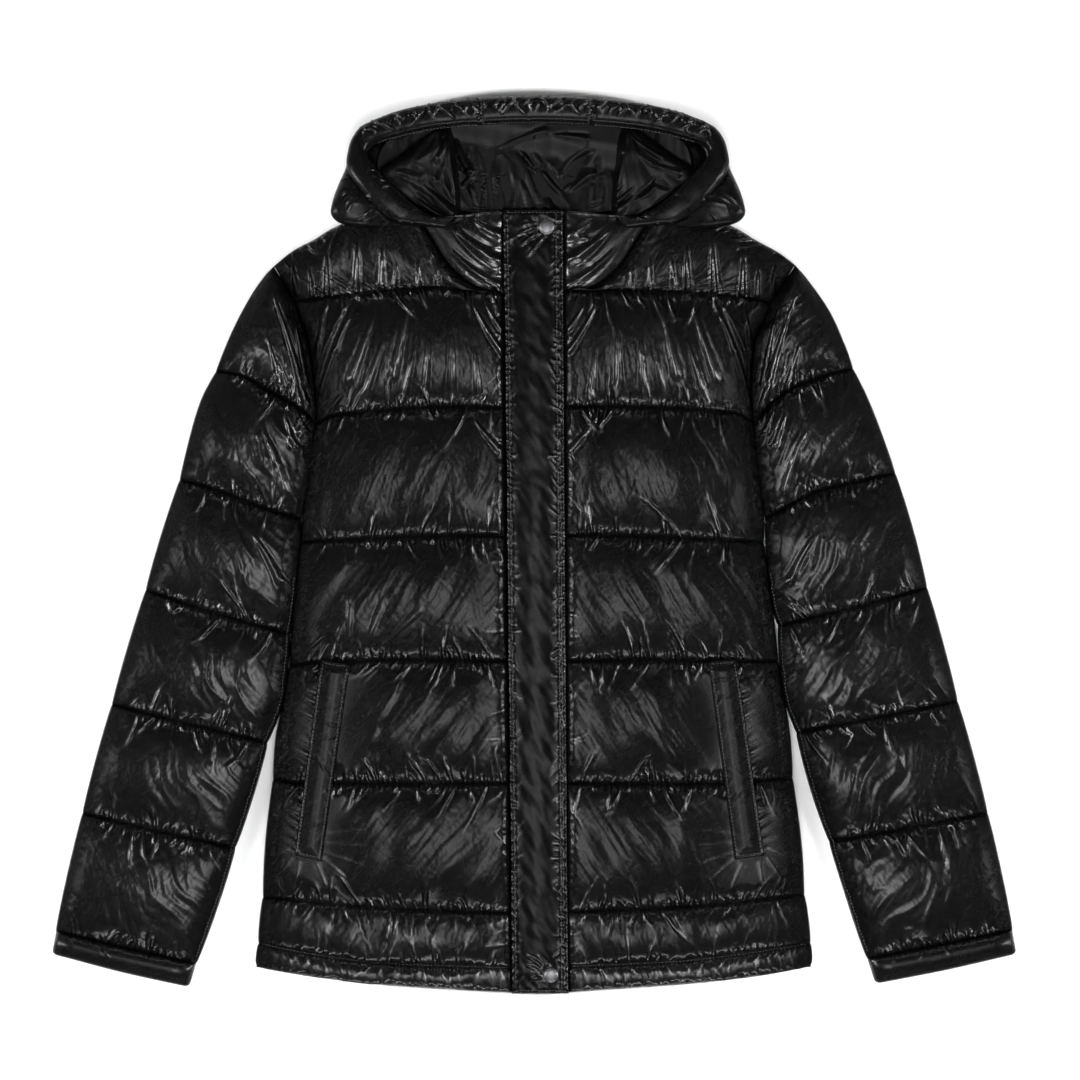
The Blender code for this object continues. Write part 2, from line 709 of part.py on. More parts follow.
def collar_stand(side):
    """One half of the collar, from the neck seam up to its edge between hood and placket."""
    sign = SIDES[side]
    seam = neck_samples(side)[1:]
    top = Curve(COLLAR_TOP)
    grid = []
    for down in COLLAR_SHARES:
        line = []
        for step, low in enumerate(seam):
            across = step / (len(seam) - 1)
            out, up = (1 - down) * top.at(across) + down * low
            ends = zip((across, 1.0 - across), COLLAR_END_ROUND)
            rise = math.prod(rounded_rise(distance, reach) for distance, reach in ends)
            line.append((sign * out, up, max(lens(down), COLLAR_TOP_RISE * (1 - down)) * rise))
        grid.append(line)
    grid = np.array(grid)
    grid[:, :, 2] = FRONT_LOW + SEAM_WALL + COLLAR_PUFF * grid[:, :, 2]
    grid[-1, :, :2] += NECK_CLEARANCE * np.array((-sign, 1.0))
    flat_backed(f"collar_stand_{side}", grid, FRONT_LOW, CLOTH, centre_strip(side))


def oval(start, end, low, crown, around=RIM_AROUND):
    """An oval section between two plan points: its low side is flattened."""
    middle = 0.5 * (low + crown)
    ring = []
    for step in range(around):
        turn = 2 * math.pi * step / around
        share = 0.5 - 0.5 * math.cos(turn)
        lift = math.sin(turn)
        height = middle + (crown - middle) * math.copysign(abs(lift) ** 0.8, lift)
        ring.append((*((1 - share) * start + share * end), height))
    return ring


def rim_rings(rows, sign, spread):
    """Sections of the rim from a table of its edges."""
    rings = []
    for out_out, out_up, in_out, in_up, low, crown in rows:
        start = np.array((sign * spread * out_out, out_up))
        end = np.array((sign * spread * in_out, in_up))
        rings.append(oval(start, end, low, crown))
    return rings


def hood_spread(side):
    """How much wider the hood lies on this side."""
    return LEFT_HOOD_SPREAD if side == "left" else 1.0


def hood():
    """The rim in three lengths, two side panels, the back, and the lining that shows."""
    for side, sign in SIDES.items():
        spread = hood_spread(side)
        ringed(f"hood_rim_{side}", rim_rings(RIM, sign, spread), CLOTH)
        rings = []
        for in_out, in_up, edge_out, edge_up, low, crown in HOOD_SIDE:
            start = np.array((sign * spread * edge_out, edge_up))
            end = np.array((sign * spread * in_out, in_up))
            rings.append(oval(start, end, low, crown))
        ringed(f"hood_side_{side}", rings, CLOTH)
        hood_lining_side(side, sign, spread)
    centre = rim_rings(RIM_CENTRE, -1.0, 1.0)
    centre += rim_rings(RIM_CENTRE[-2::-1], 1.0, LEFT_HOOD_SPREAD)
    ringed("hood_rim_centre", centre, CLOTH)
    hood_floor("hood_back", 1.0, 0.0, HOOD_BACK_WALL, HOOD_EDGE_RISE, CLOTH)
    low = HOOD_BACK_WALL + LAYER_GAP
    hood_floor("hood_lining_back", LINING_INSET, low, low + LINING_WALL, 0.0, LINING)


def hood_floor(name, inset, low, high, rise, look):
    """A layer of the hood that lies flat inside the rim."""
    left = np.array(HOOD_BACK_OUTLINE)
    right = left[-2:0:-1] * (-1.0, 1.0)
    middle = np.array((0.0, LINING_CENTRE_UP))
    outline = inset * (np.vstack((left, right)) - middle) + middle
    core = HOOD_CORE_SHARE * (outline - middle) + middle
    rings = [[(*point, low) for point in core]]
    if rise:
        rings.append([(*point, low + rise) for point in outline])
    rings.append([(*point, high) for point in (outline if rise else core)])
    ringed(name, rings, look)


def hood_lining_side(side, sign, spread):
    """The lining of one side: from the rim over a standing fold, then down to the floor."""
    upper = []
    for rim_out, rim_up, rim_height, ridge_out, ridge_up, ridge_height in LINING_RIDGE:
        start = np.array((sign * spread * rim_out, rim_up, rim_height))
        ridge = np.array((sign * spread * ridge_out, ridge_up, ridge_height))
        line = []
        for across in LINING_ACROSS:
            point = (1 - across) * start + across * ridge
            point[2] += LINING_SWELL * math.sin(math.pi * across)
            line.append(point)
        foot = ridge - np.array((sign * LINING_DROP, 0.0, 0.0))
        foot[2] = LINING_FLOOR
        waist = 0.5 * (ridge + foot)
        waist[0] -= sign * LINING_WAIST
        line += [waist, foot]
        upper.append(line)
    upper = np.array(upper)
    lower = upper + LINING_WALL * down_normals(upper)
    two_sided(f"hood_lining_{side}", upper, lower, LINING)


def down_normals(grid):
    """Unit normals of a grid of points, on its lower side."""
    along = np.gradient(grid, axis=0)
    across = np.gradient(grid, axis=1)
    normals = np.cross(along, across)
    normals /= np.linalg.norm(normals, axis=2, keepdims=True)
    flip = -1.0 if normals[:, 1:4, 2].mean() > 0 else 1.0
    return flip * normals


def centre_on_origin():
    """Shifts every piece so that the jacket's box is centred over the origin."""
    pieces = [piece for piece in bpy.data.objects if piece.type == "MESH"]
    corners = [vert.co for piece in pieces for vert in piece.data.vertices]
    middle = []
    for axis in (0, 1):
        values = [corner[axis] for corner in corners]
        middle.append(0.5 * (min(values) + max(values)))
    for piece in pieces:
        for vert in piece.data.vertices:
            vert.co.x -= middle[0]
            vert.co.y -= middle[1]


def main():
    """Clears the scene and builds every piece of the jacket."""
    for old in list(bpy.data.objects):
        bpy.data.objects.remove(old, do_unlink=True)
    back_panel()
    for side in SIDES:
        grid = front_panel(side)
        pocket_welt(side, grid)
        hem_front(side)
        sleeve(side)
        cuff_band(side)
        collar_stand(side)
    placket_flap()
    snap_cap("snap_top", SNAP_TOP)
    snap_cap("snap_foot", SNAP_FOOT)
    hood()
    centre_on_origin()


main()
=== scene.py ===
"""Looks of a hooded puffer jacket that lies on its back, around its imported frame.

Every table below is in millimetres in the plan of the jacket: "out" is measured from the
centre line towards the side seam, "up" along the length towards the hood. Everything that
is built from the tables is in metres.
"""

import sys

import logging
import math
from dataclasses import dataclass
from enum import Enum
from typing import Any, Iterable, Sequence

import bmesh
import bpy
import numpy as np
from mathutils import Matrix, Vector

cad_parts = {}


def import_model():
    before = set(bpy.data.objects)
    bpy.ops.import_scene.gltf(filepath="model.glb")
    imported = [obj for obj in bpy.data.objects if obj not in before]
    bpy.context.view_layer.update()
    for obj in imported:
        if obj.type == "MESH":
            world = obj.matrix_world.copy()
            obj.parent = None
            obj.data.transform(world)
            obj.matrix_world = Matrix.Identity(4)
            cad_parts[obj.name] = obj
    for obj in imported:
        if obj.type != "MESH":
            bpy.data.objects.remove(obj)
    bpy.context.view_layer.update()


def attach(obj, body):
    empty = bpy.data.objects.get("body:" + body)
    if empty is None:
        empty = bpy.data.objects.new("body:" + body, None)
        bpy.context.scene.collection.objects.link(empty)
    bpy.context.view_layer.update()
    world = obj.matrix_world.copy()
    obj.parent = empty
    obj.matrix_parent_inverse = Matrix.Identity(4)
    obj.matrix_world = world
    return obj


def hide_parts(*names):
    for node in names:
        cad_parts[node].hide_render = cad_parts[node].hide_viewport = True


LOG = logging.getLogger("jacket")
MM = 0.001

# Where the tables' zero lies in the plan of the frame, and the middle and width of the view.
SHIFT = np.array((0.2, -0.25))
CAMERA_MIDDLE = (5.15, 4.7)
FRAME_WIDTH = 972.0

# Heights of the layers above the ground.
BACK_TOP = 14.0
FRONT_LOW = 14.3
SEAM_HEIGHT = 17.3
SIDE_SEAM_HEIGHT = 15.2
UNDER_SEAM_HEIGHT = 11.0

# Where the gloss of the cloth comes from, and how far a seam reaches, in metres.
GLOSS = 0.13
SEAM_GLOSS = 0.4
CREASE_GLOSS = 0.9
PLAIN_GLOSS = 0.3
SEAM_REACH = 0.012
PLAIN_DISTANCE = 0.1


class Side(Enum):
    """The wearer's sides of the jacket: the word, the direction along X and a seed."""

    RIGHT = ("right", -1.0, 5)
    LEFT = ("left", 1.0, 4)

    def __init__(self, word: str, sign: float, seed: int) -> None:
        """Keeps what a side is known by.

        Args:
            word: Its word in the names of pieces and nodes.
            sign: Its direction along X.
            seed: The number that its random draws start from.
        """
        self.word = word
        self.sign = sign
        self.seed = seed

    def choose(self, right: Any, left: Any) -> Any:
        """The first value on the right side and the second on the left."""
        return right if self is Side.RIGHT else left


# Quilting lines of the fronts from the side seam to the flap, as points out and up.
FRONT_LINES = {
    Side.RIGHT: (
        ((234.5, 251.5), (217.5, 265.0), (197.0, 276.0), (180.5, 286.0), (125.5, 312.0)),
        ((216.5, 220.0), (186.0, 223.0), (160.5, 226.5), (111.0, 231.0), (81.5, 232.0), (29.0, 227.0)),
        ((197.0, 109.5), (182.0, 116.5), (162.5, 119.0), (99.5, 124.0), (63.5, 124.5), (27.5, 123.5)),
        ((210.0, 3.0), (161.5, 5.5), (107.5, 8.0), (49.0, 9.0), (26.5, 8.0)),
        ((220.5, -108.5), (196.0, -105.0), (164.0, -104.0), (108.5, -103.0), (25.0, -104.0)),
        ((235.0, -210.0), (209.0, -214.0), (178.5, -214.0), (108.5, -214.5), (23.5, -214.0)),
        ((244.0, -316.5), (209.0, -320.0), (164.0, -324.5), (108.5, -328.0), (22.0, -331.0)),
        ((248.0, -358.0), (198.0, -368.0), (131.0, -376.0), (21.0, -380.0)),
        ((250.5, -379.5), (198.0, -388.5), (131.0, -396.0), (20.5, -402.5)),
    ),
    Side.LEFT: (
        ((234.5, 252.5), (219.0, 264.0), (197.0, 276.0), (180.5, 286.0), (125.5, 312.0)),
        ((213.5, 219.0), (188.5, 223.0), (151.5, 227.0), (115.0, 229.0), (78.5, 230.0), (27.0, 229.0)),
        ((197.5, 110.0), (182.0, 118.5), (170.5, 120.0), (133.5, 123.0), (79.0, 124.5), (27.5, 124.5)),
        ((206.0, 3.0), (160.0, 5.5), (107.5, 8.0), (49.0, 9.0), (28.5, 8.5)),
        ((219.0, -104.0), (157.0, -104.0), (94.0, -103.0), (29.0, -104.0)),
        ((232.0, -209.0), (170.5, -214.0), (100.0, -214.5), (29.5, -214.0)),
        ((242.5, -314.5), (164.0, -323.0), (108.5, -327.0), (30.0, -330.0)),
        ((248.0, -358.0), (198.0, -366.0), (131.0, -374.0), (30.5, -379.0)),
        ((249.0, -379.0), (198.0, -388.0), (139.0, -394.5), (31.0, -402.0)),
    ),
}

# The lines round the puffed rows of the body, and those round its hem band; then single ones.
BODY_LINES = range(0, 7)
HEM_LINES = range(6, 9)
UNDERARM_LINE = 2
WELT_LINE = 4
HEM_STITCH_LINE = 7

# Side seam of each row, between two quilting lines.
SIDE_EDGES = {
    Side.RIGHT: (
        (),
        ((213.0, 211.0), (204.0, 184.0), (199.5, 157.0), (196.5, 124.5)),
        ((201.0, 88.0), (204.0, 54.5), (208.0, 23.0)),
        ((214.5, -49.0),),
        ((224.5, -139.0), (231.5, -172.0)),
        ((241.0, -268.5),),
        (),
        (),
    ),
    Side.LEFT: (
        (),
        ((206.0, 200.0), (198.5, 184.0), (195.0, 151.0), (195.5, 125.0)),
        ((200.0, 88.0), (203.0, 54.5), (205.5, 23.0)),
        ((212.0, -49.0),),
        ((224.0, -139.0), (229.0, -172.0)),
        ((239.0, -268.5),),
        (),
        (),
    ),
}

# Neck seam of the fronts from its outer end, and of the back from side to side.
NECK_EDGE = ((107.5, 297.5), (94.0, 277.5), (78.0, 252.5), (61.0, 237.0), (46.5, 230.0))
BACK_NECK = ((-100.0, 303.5), (-60.0, 295.5), (0.0, 291.5), (60.0, 295.5), (100.0, 303.5))

# Quilting lines of the sleeves, from the outer edge, and both edges between them.
SLEEVE_LINES = {
    Side.RIGHT: (
        ((239.0, 247.0), (235.0, 251.0)),
        ((286.5, 156.5), (276.0, 155.5), (258.0, 150.0), (242.5, 141.0), (213.0, 124.0), (197.0, 109.5)),
        ((319.0, 59.0), (294.0, 52.5), (258.0, 39.0), (236.0, 31.0), (210.5, 24.0)),
        ((349.5, -40.0), (317.0, -51.5), (270.0, -66.0), (220.0, -80.0)),
        ((380.0, -143.0), (310.0, -161.0), (240.5, -177.5)),
        ((406.5, -241.0), (338.0, -257.5), (269.5, -272.0)),
        ((430.5, -347.0), (367.0, -362.5), (304.5, -376.0)),
        ((434.5, -367.5), (372.0, -384.0), (311.0, -397.5)),
    ),
    Side.LEFT: (
        ((239.0, 247.5), (235.0, 252.0)),
        ((286.5, 159.0), (256.5, 151.0), (223.0, 135.5), (197.5, 110.0)),
        ((324.5, 65.0), (285.0, 56.0), (251.5, 47.0), (208.0, 24.0)),
        ((353.0, -38.0), (304.0, -52.0), (265.0, -61.5), (219.5, -72.0)),
        ((380.5, -140.0), (307.0, -155.0), (236.0, -168.5)),
        ((407.5, -241.0), (336.0, -254.5), (265.5, -266.5)),
        ((430.0, -346.0), (364.0, -359.5), (299.5, -371.5)),
        ((434.0, -367.5), (371.0, -382.0), (307.0, -394.5)),
    ),
}
OUTER_EDGES = {
    Side.RIGHT: (((252.5, 227.0), (269.0, 196.0)), ((301.0, 124.5),), ((335.0, 8.0),), (), (), (), ()),
    Side.LEFT: (((263.0, 212.5), (278.0, 180.5)), ((301.5, 125.5),), ((340.0, 12.0),), (), (), (), ()),
}
INNER_EDGES = {
    Side.RIGHT: (
        (),
        (),
        ((217.0, -49.0),),
        ((225.0, -120.0), (228.5, -143.0)),
        ((254.0, -222.0),),
        ((283.0, -313.0),),
        (),
    ),
    Side.LEFT: (
        (),
        (),
        ((214.5, -49.0),),
        ((224.0, -120.0), (228.0, -143.0)),
        ((250.0, -218.0),),
        ((280.0, -309.0),),
        (),
    ),
}

# The puff of the cloth: how flat its rows are, the heights of its waves and creases, and how
# far from a seam its folds begin, in metres.
FLATNESS = 0.55
WAVES = 0.3
BROAD_WAVES = 1.6
CREASES = 0.18
FOLD_FADE = 0.0016

# How far the waves of each front row, and of the sleeves, lean.
FRONT_SLANTS = (0.1, 0.15, 0.4, 0.8, 1.0, 1.0, 0.4, 0.2)
SLEEVE_SLANT = 0.65

# The flap's top and foot, and how far out its edge on each side lies there.
FLAP_UP = (302.5, -403.0)
FLAP_OUT = {Side.RIGHT: (28.6, 20.6), Side.LEFT: (26.0, 31.0)}

# How far a front and a collar half run on under the flap, in two steps.
UNDER_FLAP = (12.0, 22.0)

# Stitch lines of the flap: distance from its own edge in metres, and depth.
FLAP_STITCHES = {"sewn": (0.0042, 1.1), "inner": (0.0062, 0.8), "edge": (0.0018, 0.7)}

# Place and radius of each snap, and the height that the flap is pressed to under them.
SNAPS = {"snap_top": ((11.0, 286.5), 7.0), "snap_foot": ((15.0, -386.5), 6.5)}
SNAP_SEAT = 22.2

# Pocket welts: upper outer, upper inner, lower inner and lower outer corner.
WELT_CORNERS = {
    Side.RIGHT: ((192.0, -102.5), (165.5, -106.5), (191.0, -284.0), (215.5, -278.0)),
    Side.LEFT: ((181.5, -102.0), (156.0, -104.0), (179.5, -282.0), (206.5, -278.5)),
}

# Upper edge of the collar, from its outer end.
COLLAR_TOP = ((112.0, 306.5), (95.0, 301.5), (71.5, 297.5), (48.0, 300.0), (27.5, 302.0))

# Hood rim: its outer and inner edge as out and up, and the heights of its low side and its crown.
RIM = (
    (81.0, 284.5, 71.5, 295.5, 26.5, 37.0),
    (107.0, 287.0, 91.5, 294.5, 28.5, 42.0),
    (125.0, 289.5, 108.5, 305.0, 28.5, 46.0),
    (142.5, 302.0, 124.5, 319.0, 28.5, 47.0),
    (159.5, 321.5, 139.5, 334.5, 28.0, 46.5),
    (168.0, 339.0, 149.0, 346.5, 27.0, 45.0),
    (167.5, 353.0, 150.5, 352.0, 24.0, 43.0),
    (163.0, 366.5, 148.0, 356.5, 22.0, 42.0),
    (153.0, 377.5, 141.0, 361.0, 20.0, 41.0),
    (124.5, 389.5, 116.0, 368.5, 17.0, 39.0),
    (97.5, 396.0, 92.0, 373.5, 15.0, 37.0),
    (69.0, 400.0, 66.0, 376.5, 14.0, 36.0),
    (50.0, 401.8, 48.5, 377.5, 14.0, 36.0),
)

# The short length of the rim over the crown, down to the centre line.
RIM_CENTRE = (
    (50.3, 401.8, 48.8, 377.5, 14.0, 36.0),
    (25.0, 403.0, 24.0, 378.8, 14.0, 36.0),
    (0.0, 403.5, 0.0, 379.3, 14.0, 36.0),
)

# Hood sides: inner and outer edge of the panel, and its lowest and highest height.
HOOD_SIDE = (
    (122.0, 292.5, 121.0, 285.5, 28.5, 33.0),
    (136.0, 302.5, 150.0, 285.0, 28.5, 41.0),
    (146.0, 312.5, 172.0, 288.0, 28.0, 44.5),
    (152.5, 318.5, 182.0, 296.0, 27.0, 45.0),
    (158.0, 324.5, 181.0, 308.5, 24.0, 44.0),
    (162.0, 331.0, 176.5, 323.0, 14.0, 38.0),
    (160.0, 339.0, 170.5, 337.5, 3.0, 30.0),
    (157.5, 349.0, 167.0, 351.0, 0.0, 24.0),
    (154.0, 359.5, 162.0, 364.0, 0.0, 21.0),
    (146.0, 368.5, 152.0, 375.0, 0.0, 19.0),
    (121.5, 379.5, 124.0, 386.5, 0.0, 16.0),
    (95.5, 386.5, 97.0, 393.5, 0.0, 14.0),
    (68.0, 390.5, 68.5, 397.0, 0.0, 13.0),
    (50.0, 392.5, 50.0, 399.0, 0.0, 13.0),
)

# Outline of the hood's back, from the crown to the neck.
HOOD_BACK_OUTLINE = (
    (0.0, 402.0), (30.0, 401.6), (49.0, 401.0), (49.2, 392.5), (68.0, 390.5), (95.0, 386.5),
    (120.5, 379.5), (144.5, 368.5), (152.5, 360.0), (156.0, 350.0), (156.5, 338.0), (152.0, 322.0),
    (140.0, 306.3), (126.0, 312.8), (100.0, 304.3), (60.0, 296.3), (0.0, 292.2),
)

# The hood's back from its underside to its top: share of the outline, and height.
HOOD_BACK_PROFILE = ((0.2, 0.4), (0.9, 0.4), (0.96, 1.2), (1.0, 3.4), (0.99, 5.5), (0.95, 7.0), (0.3, 7.0))

# How much wider the hood is on the left, and its lining's size, middle and thickness in metres.
LEFT_HOOD_SPREAD = 1.035
LINING_INSET = 0.94
LINING_CENTRE_UP = 340.0
LINING_WALL = 0.001

# Side linings of the hood: the outer edge and its height, and the ridge of the standing fold.
LINING_RIDGE = (
    (78.0, 293.5, 30.0, 73.0, 297.0, 29.5),
    (90.0, 297.5, 31.0, 72.0, 306.0, 30.0),
    (107.5, 307.5, 34.0, 72.5, 318.0, 31.0),
    (123.5, 321.0, 35.0, 74.0, 332.0, 33.0),
    (137.5, 335.5, 32.0, 76.0, 345.0, 34.0),
    (122.5, 349.5, 15.0, 76.5, 355.0, 34.0),
    (106.5, 362.0, 12.0, 77.5, 364.0, 31.0),
    (94.0, 371.0, 11.0, 79.5, 372.0, 26.0),
    (82.5, 378.5, 10.5, 80.5, 378.0, 16.0),
)


def rounded_path(knots: np.ndarray, pieces: int = 10) -> np.ndarray:
    """Lays a Catmull-Rom curve through points.

    Args:
        knots: The points that the curve passes.
        pieces: How many short lengths lie between two knots.

    Returns:
        The points of the curve, knots included.
    """
    path = np.vstack((2 * knots[0] - knots[1], knots, 2 * knots[-1] - knots[-2]))
    t = (np.arange(pieces) / pieces)[:, None]
    found = []
    for a, b, c, d in zip(path, path[1:], path[2:], path[3:]):
        rise = (c - a) * t + (2 * a - 5 * b + 4 * c - d) * t**2
        found.append(b + 0.5 * (rise + (3 * b - a - 3 * c + d) * t**3))
    return np.vstack((*found, knots[-1]))


class Curve:
    """A line in the plan or in space that is read by its share of length."""

    def __init__(self, points: Iterable[Sequence[float]], rounded: bool = True) -> None:
        """Measures a line through points.

        Args:
            points: The points, in order.
            rounded: Whether the line is smooth instead of straight between them.
        """
        knots = np.array(list(points), float)
        self.knots = rounded_path(knots) if rounded and len(knots) > 2 else knots
        steps = np.linalg.norm(np.diff(self.knots, axis=0), axis=1)
        self.marks = np.concatenate(([0.0], np.cumsum(steps)))

    @property
    def length(self) -> float:
        """The whole length of the line."""
        return float(self.marks[-1])

    def at(self, share: Any) -> np.ndarray:
        """Points at shares of the length.

        Args:
            share: A number or an array of numbers from 0 to 1.

        Returns:
            The points, with their coordinates on the last axis.
        """
        along = np.asarray(share, float) * self.length
        return np.stack([np.interp(along, self.marks, axis) for axis in self.knots.T], -1)


def spanned(top: Curve, foot: Curve, near: Curve, far: Curve, across: Any, down: Any) -> np.ndarray:
    """Fills a patch between four edge curves.

    Args:
        top: The edge at the first row, from near to far.
        foot: The edge at the last row, from near to far.
        near: The edge at the first column, downwards.
        far: The edge at the last column, downwards.
        across: Shares of the width, one for each column.
        down: Shares of the height, one for each row.

    Returns:
        Points of the patch, rows by columns by coordinates.
    """
    a = np.asarray(across, float)[None, :, None]
    d = np.asarray(down, float)[:, None, None]
    ends = (1 - d) * top.at(across)[None] + d * foot.at(across)[None]
    sides = (1 - a) * near.at(down)[:, None] + a * far.at(down)[:, None]
    high = (1 - a) * top.at(0.0) + a * top.at(1.0)
    low = (1 - a) * foot.at(0.0) + a * foot.at(1.0)
    return ends + sides - (1 - d) * high - d * low


class Grain:
    """Smooth seeded noise over a plane, for wrinkles that repeat in each run."""

    TABLE = 256

    def __init__(self, seed: int) -> None:
        """Draws the directions of the noise.

        Args:
            seed: The number that the draws start from.
        """
        rng = np.random.default_rng(seed)
        self.order = rng.permutation(self.TABLE)
        turns = rng.uniform(0.0, 2 * math.pi, self.TABLE)
        self.slopes = np.stack((np.cos(turns), np.sin(turns)), -1)

    def at(self, x: np.ndarray, y: np.ndarray) -> np.ndarray:
        """Noise at points of the plane, with features about 1 wide.

        Args:
            x: The first coordinate of the points.
            y: Their second coordinate.

        Returns:
            The noise at each point, between about -1 and 1.
        """
        x, y = np.broadcast_arrays(np.asarray(x, float), np.asarray(y, float))
        column = np.floor(x).astype(int)
        row = np.floor(y).astype(int)
        fx = x - column
        fy = y - row
        ease_x = fx**3 * (fx * (fx * 6 - 15) + 10)
        ease_y = fy**3 * (fy * (fy * 6 - 15) + 10)

        def corner(step_x: int, step_y: int) -> np.ndarray:
            """The slope of one corner of the cell, times the way to it.

            Args:
                step_x: 0 for a corner at the cell's start along x, and 1 for one at its end.
                step_y: The same along y.

            Returns:
                The product for each point.
            """
            first = self.order[(column + step_x) % self.TABLE]
            slope = self.slopes[self.order[(first + row + step_y) % self.TABLE]]
            return slope[..., 0] * (fx - step_x) + slope[..., 1] * (fy - step_y)

        upper = corner(0, 0) * (1 - ease_x) + corner(1, 0) * ease_x
        lower = corner(0, 1) * (1 - ease_x) + corner(1, 1) * ease_x
        return 1.5 * (upper * (1 - ease_y) + lower * ease_y)

    def layered(self, x: np.ndarray, y: np.ndarray, layers: int) -> np.ndarray:
        """Noise with finer and weaker layers added, each half as wide as the last."""
        return sum(self.at(x * 2**n + 7.3 * n, y * 2**n + 3.1 * n) / 2**n for n in range(layers))

    def ridged(self, x: np.ndarray, y: np.ndarray) -> np.ndarray:
        """Noise with sharp crests at 1 and round hollows at 0."""
        return 1.0 - np.abs(self.at(x, y))


@dataclass(frozen=True)
class Fold:
    """One long fold of the cloth: a trough with raised rims, or a ridge that widens to its end."""

    start: tuple[float, float]
    end: tuple[float, float]
    width: float
    depth: float
    bow: float = 0.0
    rim: float = 0.6

    def height(self, plan: np.ndarray) -> np.ndarray:
        """Height that the fold adds.

        Args:
            plan: Points of the cloth in the plan, in metres.

        Returns:
            The height at each point, in metres; below zero in the trough.
        """
        start = MM * np.array(self.start)
        run = MM * np.array(self.end) - start
        length = np.linalg.norm(run)
        ahead = run / length
        offset = plan - start
        along = (offset @ ahead) / length
        aside = offset @ np.array((-ahead[1], ahead[0]))
        aside = aside - MM * self.bow * 4 * np.clip(along, 0, 1) * (1 - np.clip(along, 0, 1))
        if self.depth < 0:
            inside = smooth(along / 0.35) * smooth((1.1 - along) / 0.1)
            reach = MM * self.width * (0.3 + 0.7 * np.clip(along, 0, 1))
        else:
            inside = np.clip(1 - (2 * along - 1) ** 2, 0, 1) ** 0.75
            reach = MM * self.width * (0.35 + 0.65 * inside)
        across = aside / reach
        trough = np.exp(-(across**2) * 2.2)
        rims = np.exp(-((np.abs(across) - 1.25) ** 2) * 5.0)
        return MM * self.depth * inside * (self.rim * rims - trough)


def folds(rim: float, *rows: Sequence[float]) -> tuple[Fold, ...]:
    """Folds with equal rims.

    Args:
        rim: How high their rims stand, as a share of their depth.
        rows: For each fold the plan point of its start and of its end, its width, depth and bow.

    Returns:
        The folds.
    """
    return tuple(Fold(row[:2], row[2:4], *row[4:], rim=rim) for row in rows)


